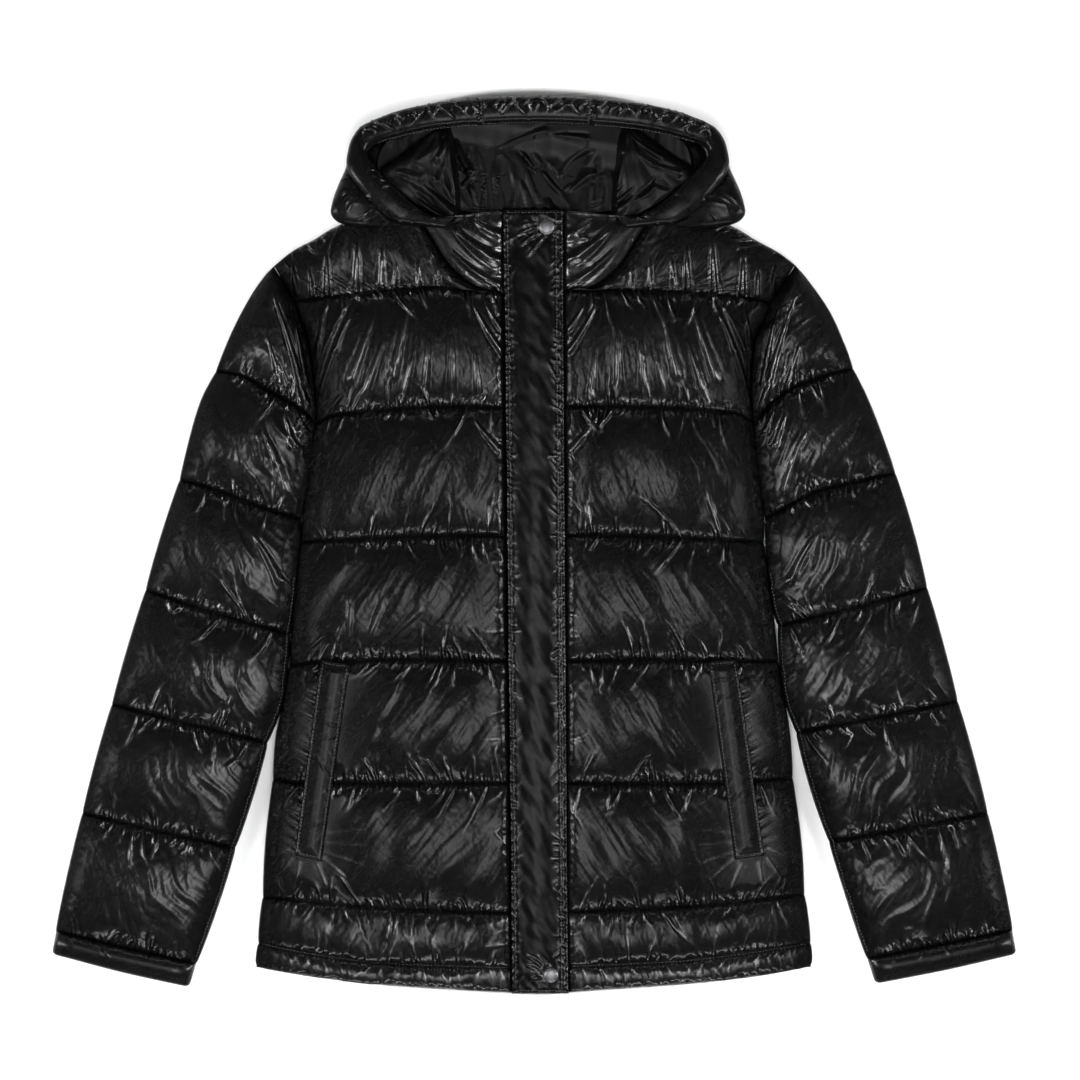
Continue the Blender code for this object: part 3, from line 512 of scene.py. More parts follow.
FRONT_FOLDS = {
    Side.RIGHT: (
        *folds(
            0.5,
            (-186.5, 265.5, -186.5, 223.5, 3.6, -3.0), (-159.0, 274.0, -160.5, 224.5, 3.8, -3.2),
            (-136.5, 270.0, -137.0, 228.0, 3.6, -3.0), (-123.0, 255.0, -126.0, 230.5, 3.0, -2.2),
            (-218.0, 255.0, -213.5, 226.0, 3.0, -2.0), (-202.0, 249.5, -200.0, 224.5, 2.8, -2.0),
            (-104.0, 258.5, -104.0, 231.5, 3.0, -1.8), (-87.5, 255.0, -86.5, 231.5, 2.8, -1.6),
            (-187.0, 222.5, -195.5, 169.5, 3.6, -2.2),
        ),
        *folds(0.8, (-158.0, 228.0, -198.5, 120.0, 3.4, 1.6, -6.0)),
        *folds(0.5, (-161.5, 210.0, -177.5, 175.5, 2.8, -1.4, -2.0)),
        *folds(
            0.3,
            (-139.5, 224.5, -163.5, 150.5, 5.0, -1.2, 1.0), (-134.5, 186.5, -156.0, 123.5, 4.5, -1.0),
            (-110.5, 227.0, -126.0, 153.0, 5.0, -1.0), (-107.5, 175.5, -119.0, 123.5, 4.5, -1.0),
            (-94.0, 193.5, -99.0, 123.5, 5.0, -0.8), (-74.0, 202.5, -74.0, 125.5, 5.0, -0.8),
            (-54.0, 180.0, -49.0, 125.5, 4.5, -0.8),
        ),
        *folds(
            0.4,
            (-58.0, 224.5, -29.0, 174.0, 3.5, -1.6, -2.0), (-45.0, 220.5, -29.0, 193.5, 3.0, -1.2, -1.0),
            (-58.0, 120.0, -31.0, 85.5, 3.5, -1.0, -1.5), (-146.0, -99.5, -103.0, -58.5, 4.0, -0.4),
            (-155.0, -99.0, -135.5, -49.5, 4.0, -0.4), (-166.0, -96.0, -166.0, -49.5, 4.0, -0.4),
            (-164.0, -303.0, -189.5, -281.5, 2.4, -0.8), (-151.5, -288.5, -187.5, -276.0, 2.4, -0.8),
            (-146.0, -270.5, -186.5, -267.0, 2.4, -0.7), (-184.0, -314.0, -194.5, -287.0, 2.4, -0.7),
            (-149.5, -254.5, -185.5, -258.0, 2.4, -0.6), (-214.5, -310.5, -211.0, -285.0, 2.4, -0.7),
            (-232.5, -301.5, -218.0, -281.5, 2.4, -0.7), (-238.0, -281.5, -220.0, -272.5, 2.4, -0.6),
        ),
    ),
    Side.LEFT: (
        *folds(
            0.5,
            (188.0, 265.5, 187.0, 223.5, 3.6, -3.0), (160.0, 274.0, 162.0, 224.5, 3.8, -3.2),
            (136.5, 270.0, 138.5, 228.0, 3.6, -3.0), (123.0, 258.5, 126.0, 230.5, 3.0, -2.2),
            (217.5, 255.0, 214.0, 226.0, 3.0, -2.0), (201.5, 251.5, 200.5, 224.5, 2.8, -2.0),
            (104.0, 258.5, 104.0, 231.5, 3.0, -1.8), (88.0, 255.0, 87.0, 231.5, 2.8, -1.6),
            (188.0, 222.5, 196.0, 169.5, 3.6, -2.2),
        ),
        *folds(0.8, (159.0, 228.0, 198.0, 120.0, 3.4, 1.6, 6.0)),
        *folds(0.5, (163.5, 210.0, 179.0, 175.5, 2.8, -1.4, 2.0)),
        *folds(
            0.3,
            (140.0, 224.5, 163.5, 150.5, 5.0, -1.2, -1.0), (136.5, 186.5, 156.5, 123.5, 4.5, -1.0),
            (112.0, 227.0, 127.5, 153.0, 5.0, -1.0), (108.5, 175.5, 119.5, 123.5, 4.5, -1.0),
            (95.0, 193.5, 99.5, 123.5, 5.0, -0.8), (75.5, 202.5, 75.5, 125.5, 5.0, -0.8),
            (55.5, 180.0, 50.0, 125.5, 4.5, -0.8),
        ),
        *folds(
            0.4,
            (59.0, 224.5, 30.5, 174.0, 3.5, -1.6, 2.0), (46.5, 220.5, 30.5, 193.5, 3.0, -1.2, 1.0),
            (59.0, 120.0, 32.0, 85.5, 3.5, -1.0, 1.5), (155.5, -303.0, 180.5, -281.5, 2.4, -0.8),
            (143.0, -288.5, 179.0, -276.0, 2.4, -0.8), (137.5, -270.5, 178.0, -267.0, 2.4, -0.7),
            (175.0, -314.0, 186.0, -287.0, 2.4, -0.7), (141.0, -254.5, 177.0, -258.0, 2.4, -0.6),
            (206.0, -310.5, 202.0, -285.0, 2.4, -0.7), (224.0, -301.5, 209.5, -281.5, 2.4, -0.7),
            (229.0, -281.5, 211.0, -272.5, 2.4, -0.6),
        ),
    ),
}
SLEEVE_FOLDS = {
    Side.RIGHT: (
        *folds(
            0.6,
            (-235.5, 228.0, -206.5, 130.5, 3.6, -2.6, 2.0), (-220.0, 220.5, -205.5, 147.0, 3.2, -2.0, 1.5),
            (-239.5, 186.5, -227.0, 137.0, 3.2, -2.0, 1.0), (-232.0, 170.5, -222.5, 139.0, 2.8, -1.6),
            (-225.5, 121.5, -215.5, 90.0, 3.2, -2.2), (-214.5, 123.5, -205.5, 102.0, 2.8, -1.6),
        ),
        *folds(
            0.4,
            (-245.0, 108.0, -224.5, 49.5, 5.0, -1.2, 2.0), (-256.0, 13.5, -229.0, -31.5, 4.0, -1.4, 2.0),
        ),
    ),
    Side.LEFT: (
        *folds(
            0.6,
            (236.5, 228.0, 207.0, 130.5, 3.6, -2.6, -2.0), (221.0, 220.5, 206.0, 147.0, 3.2, -2.0, -1.5),
            (240.0, 186.5, 228.5, 137.0, 3.2, -2.0, -1.0), (233.0, 170.5, 223.0, 139.0, 2.8, -1.6),
            (226.5, 121.5, 216.5, 90.0, 3.2, -2.2), (216.0, 123.5, 207.0, 102.0, 2.8, -1.6),
        ),
        *folds(
            0.4,
            (246.5, 108.0, 225.5, 49.5, 5.0, -1.2, -2.0), (255.5, 13.5, 230.0, -31.5, 4.0, -1.4, -2.0),
        ),
    ),
}
COLLAR_FOLDS = {
    Side.RIGHT: (
        *folds(0.5, (-74.0, 287.5, -31.0, 255.0, 7.0, -2.4, -3.0)),
        *folds(
            0.4,
            (-79.5, 271.0, -32.5, 235.0, 5.0, -1.6, -4.0), (-58.0, 296.5, -31.0, 278.5, 5.0, -1.6, -2.0),
            (-65.0, 255.0, -33.5, 233.5, 3.5, -1.2, -2.0),
        ),
    ),
    Side.LEFT: (
        *folds(0.5, (70.0, 287.5, 28.5, 255.0, 7.0, -2.4, 3.0)),
        *folds(
            0.4,
            (75.5, 271.0, 30.5, 235.0, 5.0, -1.6, 4.0), (55.5, 296.5, 28.5, 278.5, 5.0, -1.6, 2.0),
            (61.0, 255.0, 31.0, 233.5, 3.5, -1.2, 2.0),
        ),
    ),
}
FLAP_FOLDS = folds(
    0.6,
    (-18.5, 276.0, 2.5, 286.0, 2.4, -1.3, 1.5), (-14.5, 267.5, 4.5, 281.0, 2.6, -1.4, 1.0),
    (-9.0, 257.0, 7.5, 278.0, 2.4, -1.1, -1.0), (-17.5, 284.5, 2.0, 289.5, 2.0, -0.9, 1.0),
    (-10.5, -367.5, 8.5, -380.5, 2.4, -1.3, 1.0), (-12.0, -377.0, 7.5, -384.5, 2.4, -1.1, 1.0),
    (-6.0, -391.0, 8.0, -388.5, 2.2, -1.0, 0.5), (2.5, -367.0, 12.0, -379.0, 2.2, -1.0, -0.5),
)
BACK_LINING_FOLDS = (
    *folds(
        0.3,
        (-71.5, 370.5, -57.0, 334.5, 4.5, -4.0, -2.5), (-75.5, 365.5, -67.0, 335.5, 3.5, -3.0, -1.5),
        (-71.5, 326.5, -57.0, 338.0, 2.6, -2.4, 1.0), (-69.5, 317.5, -55.0, 332.0, 2.6, -2.4, 1.2),
        (-57.0, 359.0, -49.5, 298.5, 4.5, 5.0, 1.5), (-70.5, 328.0, -53.5, 301.0, 5.0, 3.5, 1.5),
        (-30.5, 351.0, -24.5, 301.0, 6.5, 4.5, 1.5), (-13.5, 356.5, 6.0, 324.0, 4.0, -3.5, 2.0),
        (-4.5, 353.5, 9.5, 304.5, 6.0, 3.5, 1.0), (-12.5, 330.5, -3.5, 298.5, 5.0, -2.5, 1.0),
        (2.0, 335.5, 28.5, 299.5, 6.5, 5.0, -2.0), (8.5, 346.0, 26.5, 320.0, 4.5, 3.0, -1.5),
        (53.5, 356.5, 22.5, 320.0, 5.5, 4.0, -2.0), (57.5, 350.0, 55.5, 301.0, 3.5, 4.0, 0.5),
        (31.5, 317.5, 52.0, 335.5, 6.0, -2.5, 1.0), (4.5, 325.5, 16.0, 302.0, 5.0, -2.5, 0.5),
        (15.0, 369.0, 47.0, 365.5, 4.0, -1.5, 1.0), (-35.5, 356.5, 9.5, 373.0, 4.0, -1.2, 1.0),
    ),
    *folds(
        0.6,
        (-43.0, 360.0, -48.0, 298.5, 0.9, 0.9), (-33.5, 335.5, -38.5, 298.5, 0.9, 0.7),
    ),
)
SIDE_LINING_FOLDS = {
    Side.RIGHT: folds(
        0.3,
        (-83.0, 375.5, -111.5, 356.5, 3.0, -1.0, 1.0), (-84.5, 369.0, -106.5, 346.0, 5.0, 1.4, -1.0),
        (-87.5, 348.5, -89.0, 325.5, 3.5, 2.4, 1.0), (-78.0, 369.0, -87.5, 343.5, 3.5, -1.6, 1.0),
        (-101.5, 325.5, -71.5, 297.0, 5.0, -2.0, -1.5), (-95.0, 330.5, -70.5, 304.5, 4.5, 2.2, -1.5),
        (-80.5, 339.5, -72.5, 310.0, 3.0, 2.4, -0.8), (-111.5, 341.0, -93.5, 315.0, 7.0, 1.4, -1.5),
        (-111.5, 315.0, -80.5, 292.0, 4.0, -1.2, -1.0), (-126.0, 335.5, -101.5, 328.0, 6.0, -1.2, 1.0),
        (-106.5, 317.5, -78.0, 294.5, 3.0, 1.4, -1.0),
    ),
    Side.LEFT: folds(
        0.3,
        (78.0, 356.5, 58.5, 299.5, 5.5, -2.6, 2.0), (80.5, 352.5, 73.0, 317.5, 3.2, 2.8, -3.0),
        (84.5, 370.5, 113.0, 348.5, 2.6, -1.2, -2.0), (88.5, 363.0, 116.5, 341.0, 4.0, 1.6, -2.0),
        (110.5, 330.5, 89.5, 311.0, 2.6, 2.2, 2.5), (91.0, 323.0, 61.5, 298.5, 3.0, -1.8, 1.0),
        (88.5, 315.0, 65.0, 299.5, 2.6, 1.8, 1.0), (80.5, 325.5, 58.5, 304.5, 2.6, 1.6, 0.8),
        (101.5, 341.0, 129.5, 333.0, 4.0, -1.4, 1.0), (104.0, 325.5, 122.0, 320.0, 4.0, 1.4, 1.0),
        (73.0, 335.5, 56.0, 297.0, 3.0, 2.0, 1.0),
    ),
}


def refined(grid: np.ndarray, axis: int, breaks: Sequence[int] = ()) -> np.ndarray:
    """Doubles a grid along one axis with smooth points, but keeps it sharp at breaks.

    Args:
        grid: Points or numbers of a grid.
        axis: The axis to double, 0 for rows and 1 for columns.
        breaks: Indices along the axis at which the surface has a crease.

    Returns:
        The grid with one more point between each two along the axis.
    """
    rows = np.moveaxis(grid, axis, 0)
    stops = sorted({0, len(rows) - 1, *breaks})
    bands = []
    for first, last in zip(stops, stops[1:]):
        band = rows[first : last + 1]
        before = 2 * band[:1] - band[1:2]
        after = 2 * band[-1:] - band[-2:-1]
        wide = np.concatenate((before, band, after))
        middle = (9 * (wide[1:-2] + wide[2:-1]) - wide[:-3] - wide[3:]) / 16
        dense = np.empty((2 * len(band) - 1, *band.shape[1:]))
        dense[::2] = band
        dense[1::2] = middle
        bands.append(dense[:-1])
    return np.moveaxis(np.concatenate((*bands, rows[-1:])), 0, axis)


class Quilt:
    """A sheet of cloth in puffed rows between sewn lines, as a grid over the plan."""

    def __init__(self, plan: np.ndarray, seams: Sequence[int]) -> None:
        """Holds the grid and its seams.

        Args:
            plan: Points of the grid, rows by columns by (x, y), in metres.
            seams: The grid rows on which a quilting line or a sewn edge runs.
        """
        self.plan = plan
        self.seams = sorted(seams)

    @classmethod
    def between(cls, rows: Sequence[Sequence[Curve]], across: np.ndarray, cell: float) -> "Quilt":
        """Makes a sheet from the edge curves of its rows.

        Args:
            rows: For each row its top, foot, near and far curve, in millimetres.
            across: Shares of the width, one for each column.
            cell: The wanted height of a grid cell, in millimetres.

        Returns:
            The sheet, with a seam between each two rows.
        """
        parts = []
        seams = [0]
        for top, foot, near, far in rows:
            tall = 0.25 * (near.length + far.length) + 0.5 * np.linalg.norm(top.at(0.5) - foot.at(0.5))
            steps = max(2, round(tall / cell))
            shares = np.linspace(0, 1, steps + 1)[bool(parts) :]
            parts.append(spanned(top, foot, near, far, across, shares))
            seams.append(seams[-1] + steps)
        return cls(MM * np.concatenate(parts), seams)

    @property
    def shape(self) -> tuple[int, int]:
        """Number of grid rows and columns."""
        return self.plan.shape[:2]

    def along(self) -> np.ndarray:
        """Distance of each point along its grid row, in metres."""
        steps = np.linalg.norm(np.diff(self.plan, axis=1), axis=2)
        return np.concatenate((np.zeros((len(steps), 1)), np.cumsum(steps, axis=1)), axis=1)

    def down(self) -> np.ndarray:
        """Distance of each point down its column, in metres."""
        steps = np.linalg.norm(np.diff(self.plan, axis=0), axis=2)
        return np.concatenate((np.zeros((1, steps.shape[1])), np.cumsum(steps, axis=0)))

    def row_numbers(self) -> np.ndarray:
        """The row of quilting in which each grid row lies."""
        found = np.searchsorted(self.seams, np.arange(self.shape[0]), "right") - 1
        return np.clip(found, 0, max(0, len(self.seams) - 2))

    def row_share(self) -> np.ndarray:
        """Share of the height of its quilting row at each grid row."""
        marks = np.array(self.seams, float)
        row = self.row_numbers()
        return (np.arange(self.shape[0]) - marks[row]) / (marks[row + 1] - marks[row])

    def lens(self) -> np.ndarray:
        """A round puff, 0 at the seams and 1 in the middle of each row, as a column."""
        share = self.row_share()[:, None]
        return np.sqrt(np.clip(4 * share * (1 - share), 0, 1))

    def seam_distance(self) -> np.ndarray:
        """Distance of each point to the nearest sewn line along its column, in metres."""
        down = self.down()
        return np.min([np.abs(down - down[seam]) for seam in self.seams], axis=0)

    def edge_distance(self, near: bool = True, far: bool = True) -> np.ndarray:
        """Distance of each point to the nearer of the chosen side edges.

        Args:
            near: Whether the edge at the first column counts.
            far: Whether the edge at the last column counts.

        Returns:
            The distances, in metres.
        """
        along = self.along()
        chosen = [value for value, wanted in ((along, near), (along[:, -1:] - along, far)) if wanted]
        return np.min(chosen, axis=0)

    def outer_distance(self, side: Side) -> np.ndarray:
        """Distance of each point to the edge away from the flap, in metres."""
        return self.edge_distance(near=side is Side.RIGHT, far=side is Side.LEFT)

    def sewn(self) -> np.ndarray:
        """The height 0 on the seams and the side edges, and NaN where the cloth is free."""
        found = np.full(self.shape, np.nan)
        found[self.seams] = 0.0
        found[:, [0, -1]] = 0.0
        return found

    def finer(self, grid: np.ndarray) -> np.ndarray:
        """Points or numbers of this sheet with twice as many rows and four times as many columns."""
        return refined(refined(refined(grid, 0, self.seams), 1), 1)

    def fine(self) -> "Quilt":
        """The same sheet on the finer grid."""
        return Quilt(self.finer(self.plan), [2 * seam for seam in self.seams])

    def turned(self, seams: Sequence[int]) -> "Quilt":
        """The same sheet with its columns as rows, sewn along some of them."""
        return Quilt(self.plan.swapaxes(0, 1), seams)

    def marks(self, creased: Any = 0.0, shown: Any = 1.0) -> np.ndarray:
        """What the finish needs to know of each point.

        Args:
            creased: How much of a sharp crease each point is, from 0 to 1.
            shown: How far the gloss shows there, from 0 to 1.

        Returns:
            The distance along its seam and to it, its row and its gloss.
        """
        rows = np.broadcast_to(self.row_numbers()[:, None], self.shape)
        seam = np.clip(1 - self.seam_distance() / SEAM_REACH, 0, 1)
        gloss = GLOSS + SEAM_GLOSS * seam + CREASE_GLOSS * np.clip(creased, 0, 1)
        gloss = shown * np.clip(gloss, 0, 1)
        return np.stack((self.along(), self.seam_distance(), rows.astype(float), gloss), -1)

    def fade(self, reach: float = 0.003) -> np.ndarray:
        """A factor that is 0 on the seams and side edges and 1 away from them."""
        return np.clip(np.minimum(self.seam_distance(), self.edge_distance()) / reach, 0, 1)


@dataclass(frozen=True)
class Padding:
    """How the padding blows up a quilted sheet, settled by a cloth simulation.

    The sheet is cut wider and longer than the place it is sewn into, as real padded rows
    are. Its seams are drawn in while the padding presses, and the spare cloth wrinkles.
    """

    wider: float = 0.03
    longer: float = 0.035
    pressure: float = 4.0
    bending: float = 0.5
    frames: int = 26
    sewn_by: int = 10
    rise: float = 0.009
    uneven: float = 0.0004
    seed: int = 1

    def first_heights(self, quilt: Quilt, sewn: np.ndarray) -> np.ndarray:
        """A smooth puff with a little unevenness, from which the simulation starts.

        Args:
            quilt: The sheet.
            sewn: The height at which each grid point is sewn down, or NaN where it is free.

        Returns:
            The heights, in metres.
        """
        side = np.clip(quilt.edge_distance() / 0.03, 0, 1)
        lens = quilt.lens() * np.sqrt(side * (2 - side))
        uneven = np.random.default_rng(self.seed).normal(0.0, self.uneven, quilt.shape)
        return np.where(np.isnan(sewn), self.rise * lens + uneven, sewn)

    def settle(self, quilt: Quilt, sewn: np.ndarray) -> np.ndarray:
        """Runs the simulation.

        Args:
            quilt: The sheet.
            sewn: The height at which each grid point is sewn down, or NaN where it is free.

        Returns:
            Points of the settled cloth, with heights measured from the seams.
        """
        heights = self.first_heights(quilt, sewn)
        start = raised(quilt.plan, heights)
        cloth = bpy.data.objects.new("settling", grid_mesh(start * (1 + self.wider, 1 + self.longer, 1)))
        bpy.context.scene.collection.objects.link(cloth)
        cloth.shape_key_add(name="cut")
        drawn = cloth.shape_key_add(name="sewn")
        drawn.data.foreach_set("co", start.ravel())
        for frame, value in ((1, 0.0), (self.sewn_by, 1.0)):
            drawn.value = value
            drawn.keyframe_insert("value", frame=frame)
        pins = cloth.vertex_groups.new(name="pins")
        pins.add(np.flatnonzero(~np.isnan(sewn).ravel()).tolist(), 1.0, "REPLACE")
        self.fit(cloth.modifiers.new("cloth", "CLOTH"))
        for frame in range(1, self.frames + 1):
            bpy.context.scene.frame_set(frame)
        settled = cloth.evaluated_get(bpy.context.evaluated_depsgraph_get())
        points = np.zeros(start.size)
        settled.data.vertices.foreach_get("co", points)
        bpy.context.scene.frame_set(1)
        mesh, action = cloth.data, cloth.data.shape_keys.animation_data.action
        bpy.data.objects.remove(cloth, do_unlink=True)
        bpy.data.actions.remove(action)
        bpy.data.meshes.remove(mesh)
        return points.reshape(start.shape)

    def fit(self, modifier: bpy.types.Modifier) -> None:
        """Sets the cloth's own properties.

        Args:
            modifier: The modifier that simulates it.
        """
        cloth = modifier.settings
        cloth.quality = 5
        cloth.mass = 0.3
        cloth.tension_stiffness = 15
        cloth.compression_stiffness = 15
        cloth.shear_stiffness = 5
        cloth.bending_stiffness = self.bending
        cloth.tension_damping = 5
        cloth.compression_damping = 5
        cloth.shear_damping = 5
        cloth.bending_damping = 0.5
        cloth.air_damping = 2
        cloth.vertex_group_mass = "pins"
        cloth.pin_stiffness = 1
        cloth.use_pressure = True
        cloth.uniform_pressure_force = self.pressure
        cloth.effector_weights.gravity = 0
        modifier.collision_settings.use_collision = False
        modifier.point_cache.frame_start = 1
        modifier.point_cache.frame_end = self.frames


@dataclass(frozen=True)
class Gathers:
    """Short folds that run out of the sewn lines of a sheet; sizes in millimetres."""

    seed: int
    spacing: float = 6.8
    length: tuple[float, float] = (7.0, 46.0)
    width: tuple[float, float] = (1.2, 4.0)
    rise: float = 1.0
    lean: float = 0.35
    above: float = 1.0
    below: float = 0.75
    zigzag: bool = False

    def height(self, quilt: Quilt) -> np.ndarray:
        """How far the folds stand out at each point of a sheet.

        Args:
            quilt: The sheet.

        Returns:
            The heights, in units of the rise.
        """
        rng = np.random.default_rng(self.seed)
        along = quilt.along() / MM
        down = quilt.down() / MM
        total = np.zeros(quilt.shape)
        stops = [0, *quilt.seams, quilt.shape[0] - 1]
        for before, seam, after in zip(stops, stops[1:], stops[2:]):
            for stop, strength in ((before, self.above), (after, self.below)):
                if stop == seam or not strength:
                    continue
                first, last = sorted((seam, stop))
                rows = slice(first, last + 1)
                away = np.abs(down[rows] - down[seam])
                total[rows] += strength * self.folds(rng, along[rows], away, along[seam])
        return total

    def folds(
        self, rng: np.random.Generator, along: np.ndarray, away: np.ndarray, seam: np.ndarray
    ) -> np.ndarray:
        """Heights of the folds on one side of one seam.

        Args:
            rng: Where each fold's place and size are drawn from.
            along: Distance along the seam of each point beside it.
            away: Distance of each point from the seam.
            seam: Distance along the seam of the seam's own points.

        Returns:
            The heights, in units of the rise.
        """
        total = np.zeros(along.shape)
        spot = self.spacing * rng.uniform(0.0, 1.0)
        lean = self.lean * rng.normal(0, 1)
        while spot < seam[-1]:
            length = self.length[0] + (self.length[1] - self.length[0]) * rng.uniform(0, 1) ** 2.5
            lean = 0.75 * lean + 0.6 * self.lean * rng.normal(0, 1)
            if self.zigzag:
                lean = -math.copysign(self.lean * rng.uniform(0.6, 1.4), lean)
            curl = 0.25 * rng.normal(0, 1) / length
            rise = self.rise * rng.uniform(0.25, 1.3)
            room = 3 * self.width[1] + 1.5 * abs(lean) * length
            near = (np.abs(seam - spot) < room).nonzero()[0]
            spot += self.spacing * (rng.uniform(0.75, 1.25) if self.zigzag else rng.uniform(0.3, 1.9))
            if not len(near):
                continue
            spread = slice(near[0], near[-1] + 1)
            d = away[:, spread]
            width = self.width[0] + (self.width[1] - self.width[0]) * np.clip(d / length, 0, 1)
            offset = (along[:, spread] - (spot + lean * d + curl * d * d)) / width
            taper = np.clip(1 - d / length, 0, 1) ** 0.9
            total[:, spread] += rise * taper * (1 - 1.1 * offset**2) * np.exp(-(offset**2))
        return total


def grid_faces(rows: int, columns: int, flip: bool = False) -> np.ndarray:
    """Quads of a grid whose columns run to the right and whose rows run down.

    Args:
        rows: Number of its rows.
        columns: Number of its columns.
        flip: Whether they face down instead of up.

    Returns:
        Four indices for each quad.
    """
    first = (np.arange(rows - 1)[:, None] * columns + np.arange(columns - 1)[None]).ravel()
    quads = np.stack((first, first + columns, first + columns + 1, first + 1), -1)
    return quads[:, ::-1] if flip else quads


def grid_mesh(grid: np.ndarray) -> bpy.types.Mesh:
    """A mesh of the quads of one grid.

    Args:
        grid: Its points, in metres.

    Returns:
        The mesh.
    """
    mesh = bpy.data.meshes.new("grid")
    mesh.from_pydata(grid.reshape(-1, 3).tolist(), [], grid_faces(*grid.shape[:2]).tolist())
    return mesh


def border_of(rows: int, columns: int) -> np.ndarray:
    """Indices round the edge of a grid, clockwise from its first corner."""
    spots = np.arange(rows * columns).reshape(rows, columns)
    return np.concatenate((spots[0], spots[1:, -1], spots[-1, -2::-1], spots[-2:0:-1, 0]))


def smooth(share: Any) -> np.ndarray:
    """An even step from 0 to 1 as the share goes from 0 to 1."""
    share = np.clip(share, 0, 1)
    return share * share * (3 - 2 * share)


def quarter_round(distance: Any, reach: float) -> np.ndarray:
    """Quarter-round rise from 0 at an edge to 1 at reach from it."""
    return np.sqrt(1 - np.clip(1 - np.asarray(distance) / reach, 0, 1) ** 2)


def raised(plan: np.ndarray, height: np.ndarray) -> np.ndarray:
    """Points of a plan, lifted to their heights."""
    return np.concatenate((plan, height[..., None]), axis=2)


def plain_marks(shape: Sequence[int]) -> np.ndarray:
    """Marks of cloth that lies far from any seam and has an even gloss."""
    return np.full((*shape, 4), (0.0, PLAIN_DISTANCE, 0.0, PLAIN_GLOSS))


def tucked(side: Side, grid: np.ndarray, marks: np.ndarray) -> tuple[np.ndarray, np.ndarray]:
    """Carries a panel on under the flap.

    Args:
        side: The side of the panel.
        grid: Its points.
        marks: Its marks.

    Returns:
        The wider grid, and its marks.
    """
    edge = side.choose(-1, 0)
    strip = np.repeat(grid[:, edge, None], len(UNDER_FLAP), axis=1)
    strip[..., 0] -= side.sign * MM * np.array(UNDER_FLAP)
    strip[..., 2] = np.minimum(strip[..., 2], MM * (SEAM_HEIGHT - 0.2))
    more = np.repeat(marks[:, edge, None], len(UNDER_FLAP), axis=1)
    if side is Side.RIGHT:
        return np.concatenate((grid, strip), axis=1), np.concatenate((marks, more), axis=1)
    return np.concatenate((strip[:, ::-1], grid), axis=1), np.concatenate((more, marks), axis=1)


def normals_of(grid: np.ndarray) -> np.ndarray:
    """Unit normals of a grid of points, upwards where the grid is drawn from above."""
    normals = np.cross(np.gradient(grid, axis=1), -np.gradient(grid, axis=0))
    return normals / np.maximum(np.linalg.norm(normals, axis=2, keepdims=True), 1e-9)


